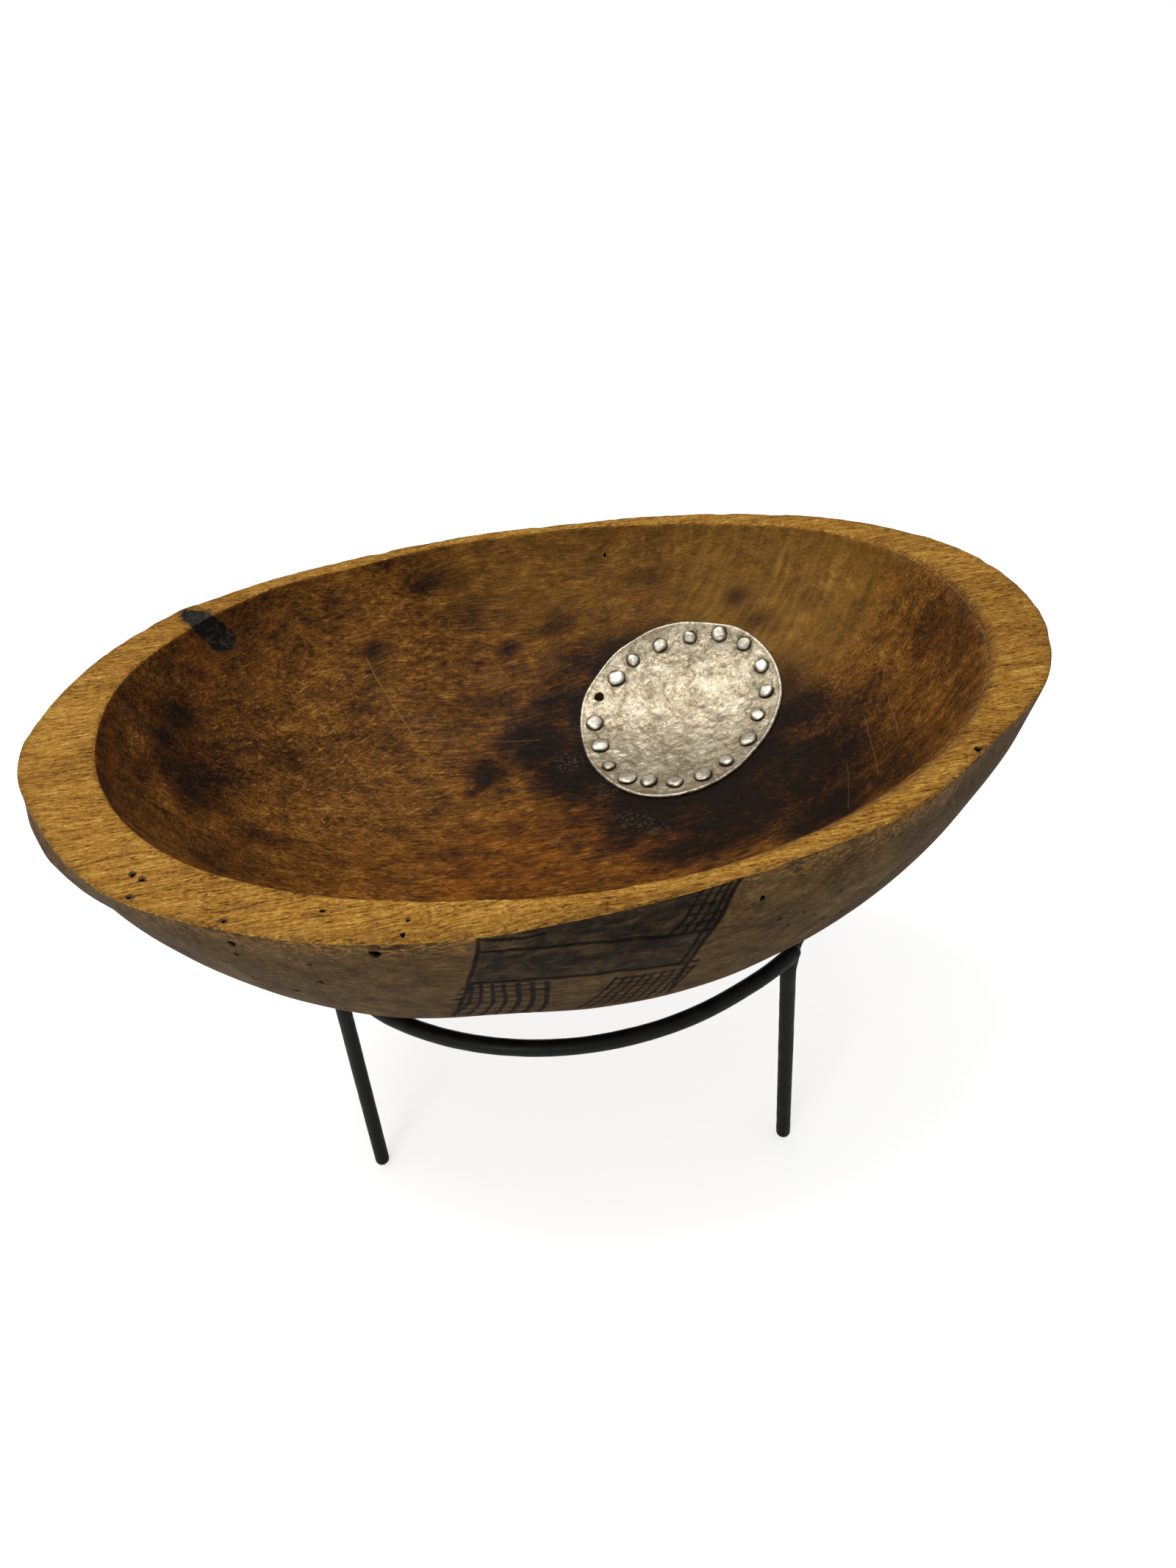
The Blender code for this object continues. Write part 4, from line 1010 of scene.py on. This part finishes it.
def patch_sheet():
    spokes = 150
    shares = np.concatenate([np.linspace(0.03, 0.9, 40), [0.925, 0.945, 0.96, 0.972, 0.982, 0.99, 0.996, 1.0]])
    a = np.arange(spokes) * 2 * np.pi / spokes
    rim = table_at(PATCH_EDGE, a) + 0.45 * lumps(np.column_stack([40 * np.cos(a), 40 * np.sin(a), 0 * a]), 9, 81)
    u = shares[:, None] * (rim * np.cos(a))[None]
    v = shares[:, None] * (rim * np.sin(a))[None]
    base = on_hollow(u, v)
    normal = inner_normal(base[..., 0], base[..., 1])
    flat = np.column_stack([u.ravel(), v.ravel(), 0 * u.ravel()])
    dent = 0.42 * fractal(flat, 11, 3, 82).reshape(u.shape) + 0.16 * lumps(flat, 3.6, 83).reshape(u.shape)
    ring_shade_and_dirt, press = np.zeros(u.shape), np.zeros(u.shape)
    # painted shade with dirt: a dark ring round each rivet head and round the empty hole
    for hu, hv, hr in HEADS:
        d = np.hypot(u - hu, v - hv)
        press = np.maximum(press, np.exp(-((d / (hr + 1.4)) ** 4)))
        ring_shade_and_dirt = np.maximum(ring_shade_and_dirt, np.exp(-(((d - hr - 0.25) / 0.75) ** 2)))
    hole = on_patch_uv(EMPTY)
    d = np.hypot(u - hole[0], v - hole[1])
    ring_shade_and_dirt = np.maximum(ring_shade_and_dirt, 0.9 * np.exp(-(((d - 2.0) / 1.0) ** 2)))
    out = shares[:, None] * np.ones(spokes)[None]
    lip = ramp(out, 0.955, 0.985) * (1 - ramp(out, 0.99, 1.0))
    lift = GAP + 0.15 + np.maximum(dent * (1 - press), -0.25) * (1 - ramp(out, 0.96, 1.0) * 0.6) + 0.22 * lip
    edge_round = np.clip((out - 0.985) / 0.015, 0, 1)
    thick = THICK * np.sqrt(np.clip(1 - 0.75 * edge_round**2, 0.1, 1))
    under = base + normal * (lift - 0.15 * 0)[..., None]
    over = base + normal * (lift + thick)[..., None]
    polish = ramp(out, 0.965, 0.985)
    rows = len(shares)
    points = np.vstack([over.reshape(-1, 3), under.reshape(-1, 3), over[0].mean(0), under[0].mean(0)])
    n = rows * spokes
    faces = [tuple(f) for f in grid_faces(rows, spokes, True)]
    faces += [tuple(f + n) for f in grid_faces(rows, spokes, False)]
    k = np.arange(spokes)
    j = (k + 1) % spokes
    edge = (rows - 1) * spokes
    faces += [(edge + p, n + edge + p, n + edge + q, edge + q) for p, q in zip(k, j)]
    faces += [(2 * n, p, q) for p, q in zip(k, j)]
    faces += [(2 * n + 1, n + q, n + p) for p, q in zip(k, j)]
    values = {
        "ring_shade_and_dirt": np.concatenate([ring_shade_and_dirt.ravel(), ring_shade_and_dirt.ravel(), [0, 0]]),
        "polish": np.concatenate([polish.ravel(), polish.ravel(), [0, 0]]),
    }
    return points, faces, values


def on_patch_uv(p):
    d = np.asarray(p) - PATCH_ORIGIN
    return float(d @ PATCH_U), float(d @ PATCH_V)


def outward(obj):
    """Turns a closed mesh's faces outward."""
    bm = bmesh.new()
    bm.from_mesh(obj.data)
    bmesh.ops.recalc_face_normals(bm, faces=bm.faces)
    if bm.calc_volume(signed=True) < 0:
        bmesh.ops.reverse_faces(bm, faces=bm.faces)
    bm.to_mesh(obj.data)
    bm.free()
    return obj


points, faces, values = patch_sheet()
patch = outward(new_object("patch_plate_visual", points, faces, SHEET, True, values))
tool = outward(drills("patch_rivet_holes", [(c, a, 1.7, lo - 10, hi + 10, 14) for c, a, lo, hi, _ in AXES.values()]
                      + [(EMPTY, EMPTY_AXIS, 1.9, -10, 12, 18)], False))  # fmt: skip
cut_away(patch, tool)
patch.data.materials.clear()
patch.data.materials.append(SHEET)
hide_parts("patch_plate")
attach(patch, "bowl")


# ---- backing sheet under the bowl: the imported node, softened and beaten -------------------------
def softened(node, name, mat, cuts, push, seed, body, size=9.0):
    source = NODES[node]
    mesh = source.data.copy()
    mesh.name = name
    obj = bpy.data.objects.new(name, mesh)
    bpy.context.scene.collection.objects.link(obj)
    bm = bmesh.new()
    bm.from_mesh(mesh)
    bmesh.ops.remove_doubles(bm, verts=bm.verts, dist=1e-6)
    if cuts:
        bmesh.ops.subdivide_edges(bm, edges=[e for e in bm.edges if e.calc_length() > 0.0022], cuts=cuts, use_grid_fill=True)
        bmesh.ops.triangulate(bm, faces=bm.faces)
    bm.normal_update()
    co = np.array([v.co for v in bm.verts]) * 1000
    amount = push * fractal(co, size, 2, seed)
    for v, d in zip(bm.verts, amount):
        v.co += v.normal * float(d) * MM
    for f in bm.faces:
        f.smooth = True
    bm.to_mesh(mesh)
    bm.free()
    mesh.materials.clear()
    mesh.materials.append(mat)
    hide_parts(node)
    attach(obj, body)
    return obj


softened("backing_plate", "backing_plate_visual", SHEET, 1, 0.10, 91, "bowl")


# ---- rivets: beaten, uneven heads -----------------------------------------------------------------
def rivet_piece(number, name, size):
    c, axis, lo, hi, _ = AXES[name]
    around = 32
    side = np.cross(axis, (0.2, 0.95, 0.1))
    side /= np.linalg.norm(side)
    other = np.cross(axis, side)
    head = hi - 1.5
    tall = 1.2 + 0.2 * math.sin(number * 2.1)
    radius = 3.42 * size
    profile = [
        (0.0, lo), (1.1, lo + 0.08), (1.9, lo + 0.35), (2.45, lo + 0.75), (2.6, lo + 1.1), (2.4, lo + 1.2), (1.5, lo + 1.2),
        (1.5, head), (radius * 0.9, head), (radius * 1.0, head + tall * 0.12), (radius * 1.02, head + tall * 0.35),
        (radius * 0.94, head + tall * 0.66), (radius * 0.8, head + tall * 0.87), (radius * 0.58, head + tall * 0.97),
        (radius * 0.3, head + tall), (0.0, head + tall * 1.01),
    ]  # fmt: skip
    first_head = 8
    points, ids = [], []
    for i, (r, h) in enumerate(profile):
        if r == 0.0:
            ids.append([len(points)])
            points.append(c + axis * h)
            continue
        row = []
        for k in range(around):
            a = 2 * math.pi * k / around
            wob = 1.0
            hh = h
            if i >= first_head:
                wob += 0.075 * math.cos(2 * (a - 1.7 * number)) + 0.045 * math.cos(4 * (a - 0.9 * number))
                wob += 0.03 * math.sin(3 * a + number)
                tilt = 0.16 * math.cos(a - 2.3 * number) * (r / radius)
                hh = h + tilt * (h - head) / tall
            elif i < 6:
                wob += 0.06 * math.cos(3 * a + number) + 0.05 * math.cos(2 * a + 2 * number)
            row.append(len(points))
            points.append(c + axis * hh + (math.cos(a) * side + math.sin(a) * other) * r * wob)
        ids.append(row)
    faces = []
    for a, b in zip(ids, ids[1:]):
        for k in range(around):
            j = (k + 1) % around
            if len(a) == 1:
                faces.append((a[0], b[k], b[j]))
            elif len(b) == 1:
                faces.append((a[j], a[k], b[0]))
            else:
                faces.append((a[k], b[k], b[j], a[j]))
    points = np.array(points)
    height = (points - c) @ axis
    # painted shade with dirt at the foot of the head, where it meets the sheet
    values = {"ring_shade_and_dirt": 0.8 * (1 - ramp(height, head + 0.1, head + 0.6)), "polish": ramp(height, head + 0.7, head + 1.2)}
    obj = outward(new_object(name + "_visual", points, faces, RIVETS, True, values))
    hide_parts(name)
    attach(obj, "bowl")


for number, (name, size) in enumerate(zip(RIVET_NAMES, HEAD_SIZE), start=1):
    rivet_piece(number, name, size)

# ---- stand ------------------------------------------------------------------------------------------
ROD_R = 3.175
RING_AT, RING_R, RING_Z = (3.4, 8.1), 118.3, 131.7
TUCK_START, TUCK_END, TUCK_SPAN = -1.8, 1.4, 16.0
END_SHORT, BEND_R = 2.2, 6.0
JOG, JOG_RISE = 2.5, 9.0
LEGS = ((-150.0, 4.4, -1.8), (-47.1, -3.9, 5.5), (81.5, 1.0, 0.0))


def ring_point(degrees, r, z=RING_Z):
    t = math.radians(degrees)
    return np.array((RING_AT[0] + r * math.cos(t), RING_AT[1] + r * math.sin(t), z))


def ease(t):
    t = min(max(t, 0.0), 1.0)
    return t * t * (3 - 2 * t)


def bar_path(leg, next_leg):
    """Centre line from the foot, up the leg, over the bend and along the arc, every 1.5 mm or so."""
    angle, stand_out, stand_round = leg
    span = (next_leg[0] - angle) % 360.0
    t = math.radians(angle)
    out, along = np.array((math.cos(t), math.sin(t), 0)), np.array((-math.sin(t), math.cos(t), 0))
    up = np.array((0, 0, 1.0))
    r0 = RING_R + TUCK_START
    top = ring_point(angle, r0, RING_Z - BEND_R)
    low = top - along * JOG - up * JOG_RISE
    foot = low + out * stand_out + along * stand_round
    foot[2] = 0.0
    path = [foot + (low - foot) * k / 60 for k in range(60)]
    for k in range(9):
        f = k / 8
        path.append(low + up * (JOG_RISE * f) + along * (JOG * ease(f)))
    for k in range(1, 13):
        b = math.radians(90.0 * k / 12)
        path.append(top + up * (BEND_R * math.sin(b)) + along * (BEND_R * (1 - math.cos(b))))
    lead = math.degrees(BEND_R / r0)
    end = span - END_SHORT
    steps = 110
    for k in range(1, steps + 1):
        a = lead + (end - lead) * k / steps
        r = RING_R + TUCK_START * (1 - ease((a - lead) / TUCK_SPAN))
        r += TUCK_END * (1 - ease((end - a) / TUCK_SPAN))
        path.append(ring_point(angle + a, r))
    return np.array(path)


def swept(path, radius, sides, seed):
    """A rod along the path with domed ends; the foot's dome stands on the floor."""
    tangent = np.gradient(path, axis=0)
    tangent /= np.linalg.norm(tangent, axis=1, keepdims=True)
    # foot: start the full section a little above the floor
    start = path[0] + tangent[0] * (radius * 0.86 / tangent[0][2])
    keep = path[:, 2] > start[2] + 0.8
    keep |= np.arange(len(path)) > 60
    path = np.vstack([start, path[keep]])
    tangent = np.gradient(path, axis=0)
    tangent /= np.linalg.norm(tangent, axis=1, keepdims=True)
    side = np.cross(tangent[0], (0.3, 1.0, 0.2))
    side /= np.linalg.norm(side)
    rings = []

    def ring(at, direction, r):
        nonlocal side
        side = side - direction * (side @ direction)
        side /= np.linalg.norm(side)
        other = np.cross(direction, side)
        a = np.arange(sides) * 2 * np.pi / sides
        return at + r * (np.cos(a)[:, None] * side + np.sin(a)[:, None] * other)

    for s in (0.93, 0.8, 0.62, 0.42, 0.2):
        rings.append(ring(path[0] - tangent[0] * radius * 0.84 * s, tangent[0], radius * math.sqrt(1 - s * s) ** 0.8))
    for p, d in zip(path, tangent):
        rings.append(ring(p, d, radius))
    for s in (0.3, 0.55, 0.75, 0.9, 0.98):
        rings.append(ring(path[-1] + tangent[-1] * radius * 0.95 * s, tangent[-1], radius * math.sqrt(1 - s * s)))
    grid = np.stack(rings)
    centre = grid.mean(1, keepdims=True)
    bumpy = 1 + 0.018 * lumps(grid.reshape(-1, 3), 6, seed).reshape(grid.shape[:2]) + 0.01 * lumps(
        grid.reshape(-1, 3), 2.2, seed + 1
    ).reshape(grid.shape[:2])
    grid = centre + (grid - centre) * bumpy[..., None]
    points = np.vstack([grid.reshape(-1, 3), grid[0].mean(0) - tangent[0] * 0.05, grid[-1].mean(0) + tangent[-1] * 0.05])
    points[:, 2] = np.maximum(points[:, 2], 0.0)
    rows = len(grid)
    n = rows * sides
    faces = [tuple(f) for f in grid_faces(rows, sides)]
    faces += [(n, (k + 1) % sides, k) for k in range(sides)]
    base = (rows - 1) * sides
    faces += [(n + 1, base + k, base + (k + 1) % sides) for k in range(sides)]
    return points, faces


for k, leg in enumerate(LEGS):
    points, faces = swept(bar_path(leg, LEGS[(k + 1) % 3]), ROD_R, 24, 100 + 7 * k)
    bar = outward(new_object(f"stand_bar_{k + 1}_visual", points, faces, PAINT, True))
    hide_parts(f"stand_bar_{k + 1}")
    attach(bar, "stand")

# where the bowl rests, its outside stays a hair clear of each bar
co = np.empty(len(bowl.data.vertices) * 3)
bowl.data.vertices.foreach_get("co", co)
co = co.reshape(-1, 3) / MM + MIDDLE
for k, leg in enumerate(LEGS):
    line = np.asarray(bar_path(leg, LEGS[(k + 1) % 3]), float)
    line = line[line[:, 2] > RING_Z - 12]
    close = np.where((np.abs(co[:, 2] - RING_Z) < 14) & (co[:, 2] < 150))[0]
    gap = co[close][:, None, :] - line[None]
    far = np.linalg.norm(gap, axis=-1)
    pick = far.argmin(1)
    d = far[np.arange(len(close)), pick]
    away = gap[np.arange(len(close)), pick] / d[:, None]
    push = np.clip(ROD_R + 0.45 - d, 0, 1.5)
    print("bar", k + 1, "vertices eased", int((push > 0).sum()), "most mm", float(push.max()))
    co[close] += away * push[:, None]
bowl.data.vertices.foreach_set("co", ((co - MIDDLE) * MM).ravel())
bowl.data.update()

for k in range(3):
    softened(f"weld_{k + 1}", f"weld_{k + 1}_visual", PAINT, 2, 0.14, 120 + k, "stand", 2.6)

# ---- floor, light and camera --------------------------------------------------------------------------
floor_mat = Tree("pale_floor")
floor_colour = floor_mat.mix(floor_mat.step(floor_mat.noise(180.0, 2.0), 0.3, 0.7), (0.90, 0.90, 0.90), (0.92, 0.92, 0.92))
ray = floor_mat.nodes.new("ShaderNodeLightPath")
floor_mat.put(floor_mat.shader.inputs["Emission Color"], (1.0, 1.0, 1.0))
floor_mat.put(floor_mat.shader.inputs["Emission Strength"], floor_mat.math("MULTIPLY", ray.outputs["Is Camera Ray"], 0.58))
floor_mat.finish(floor_colour, 0.9)
floor_mat.shader.inputs["Specular IOR Level"].default_value = 0.1
# seen from below, the floor is clear, so the underside of the bowl shows
geometry = floor_mat.nodes.new("ShaderNodeNewGeometry")
clear = floor_mat.nodes.new("ShaderNodeBsdfTransparent")
either = floor_mat.nodes.new("ShaderNodeMixShader")
floor_mat.put(either.inputs[0], floor_mat.math("MULTIPLY", geometry.outputs["Backfacing"], ray.outputs["Is Camera Ray"]))
floor_mat.put(either.inputs[1], floor_mat.shader.outputs[0])
floor_mat.put(either.inputs[2], clear.outputs[0])
surface = next(n for n in floor_mat.nodes if n.type == "OUTPUT_MATERIAL")
floor_mat.put(surface.inputs["Surface"], either.outputs[0])
bpy.ops.mesh.primitive_plane_add(size=120.0, location=(0, 0, -0.0002))
floor = bpy.context.object
floor.name = "floor"
floor.data.materials.append(floor_mat.mat)

world = bpy.data.worlds.new("soft_studio")
world.use_nodes = True
world.node_tree.nodes["Background"].inputs["Color"].default_value = (1.0, 1.0, 1.0, 1.0)
# plain white where the camera looks past the floor, soft light everywhere else
world_ray = world.node_tree.nodes.new("ShaderNodeLightPath")
world_gain = world.node_tree.nodes.new("ShaderNodeMath")
world_gain.operation = "MULTIPLY_ADD"
world_gain.inputs[1].default_value, world_gain.inputs[2].default_value = 0.56, 0.46
world.node_tree.links.new(world_ray.outputs["Is Camera Ray"], world_gain.inputs[0])
world.node_tree.links.new(world_gain.outputs[0], world.node_tree.nodes["Background"].inputs["Strength"])
bpy.context.scene.world = world


def area_light(name, at, target, size, power, colour=(1, 1, 1)):
    light = bpy.data.lights.new(name, "AREA")
    light.shape, light.size, light.energy, light.color = "DISK", size, power, colour
    obj = bpy.data.objects.new(name, light)
    bpy.context.scene.collection.objects.link(obj)
    obj.location = at
    obj.rotation_euler = (Vector(target) - Vector(at)).to_track_quat("-Z", "Y").to_euler()
    return obj


area_light("key", (-0.35, 0.1, 1.75), (0, 0, 0.15), 1.1, 17.0, (1.0, 0.985, 0.96))
area_light("front", (-0.9, -1.5, 1.0), (0, 0, 0.15), 0.9, 7.0, (1.0, 0.99, 0.97))

camera_data = bpy.data.cameras.new("camera")
camera_data.lens, camera_data.sensor_width, camera_data.sensor_fit = 27.004, 36.0, "AUTO"
camera_data.clip_start, camera_data.clip_end = 0.01, 200
camera = bpy.data.objects.new("camera", camera_data)
bpy.context.scene.collection.objects.link(camera)
camera.matrix_world = Matrix(
    (
        (0.985399, 0.159375, -0.05990, -0.015045),
        (-0.145014, 0.601329, -0.78573, -0.387012),
        (-0.089205, 0.782944, 0.61566, 0.470),
        (0, 0, 0, 1),
    )
)
bpy.context.scene.camera = camera
bpy.context.scene.view_settings.view_transform = "Standard"
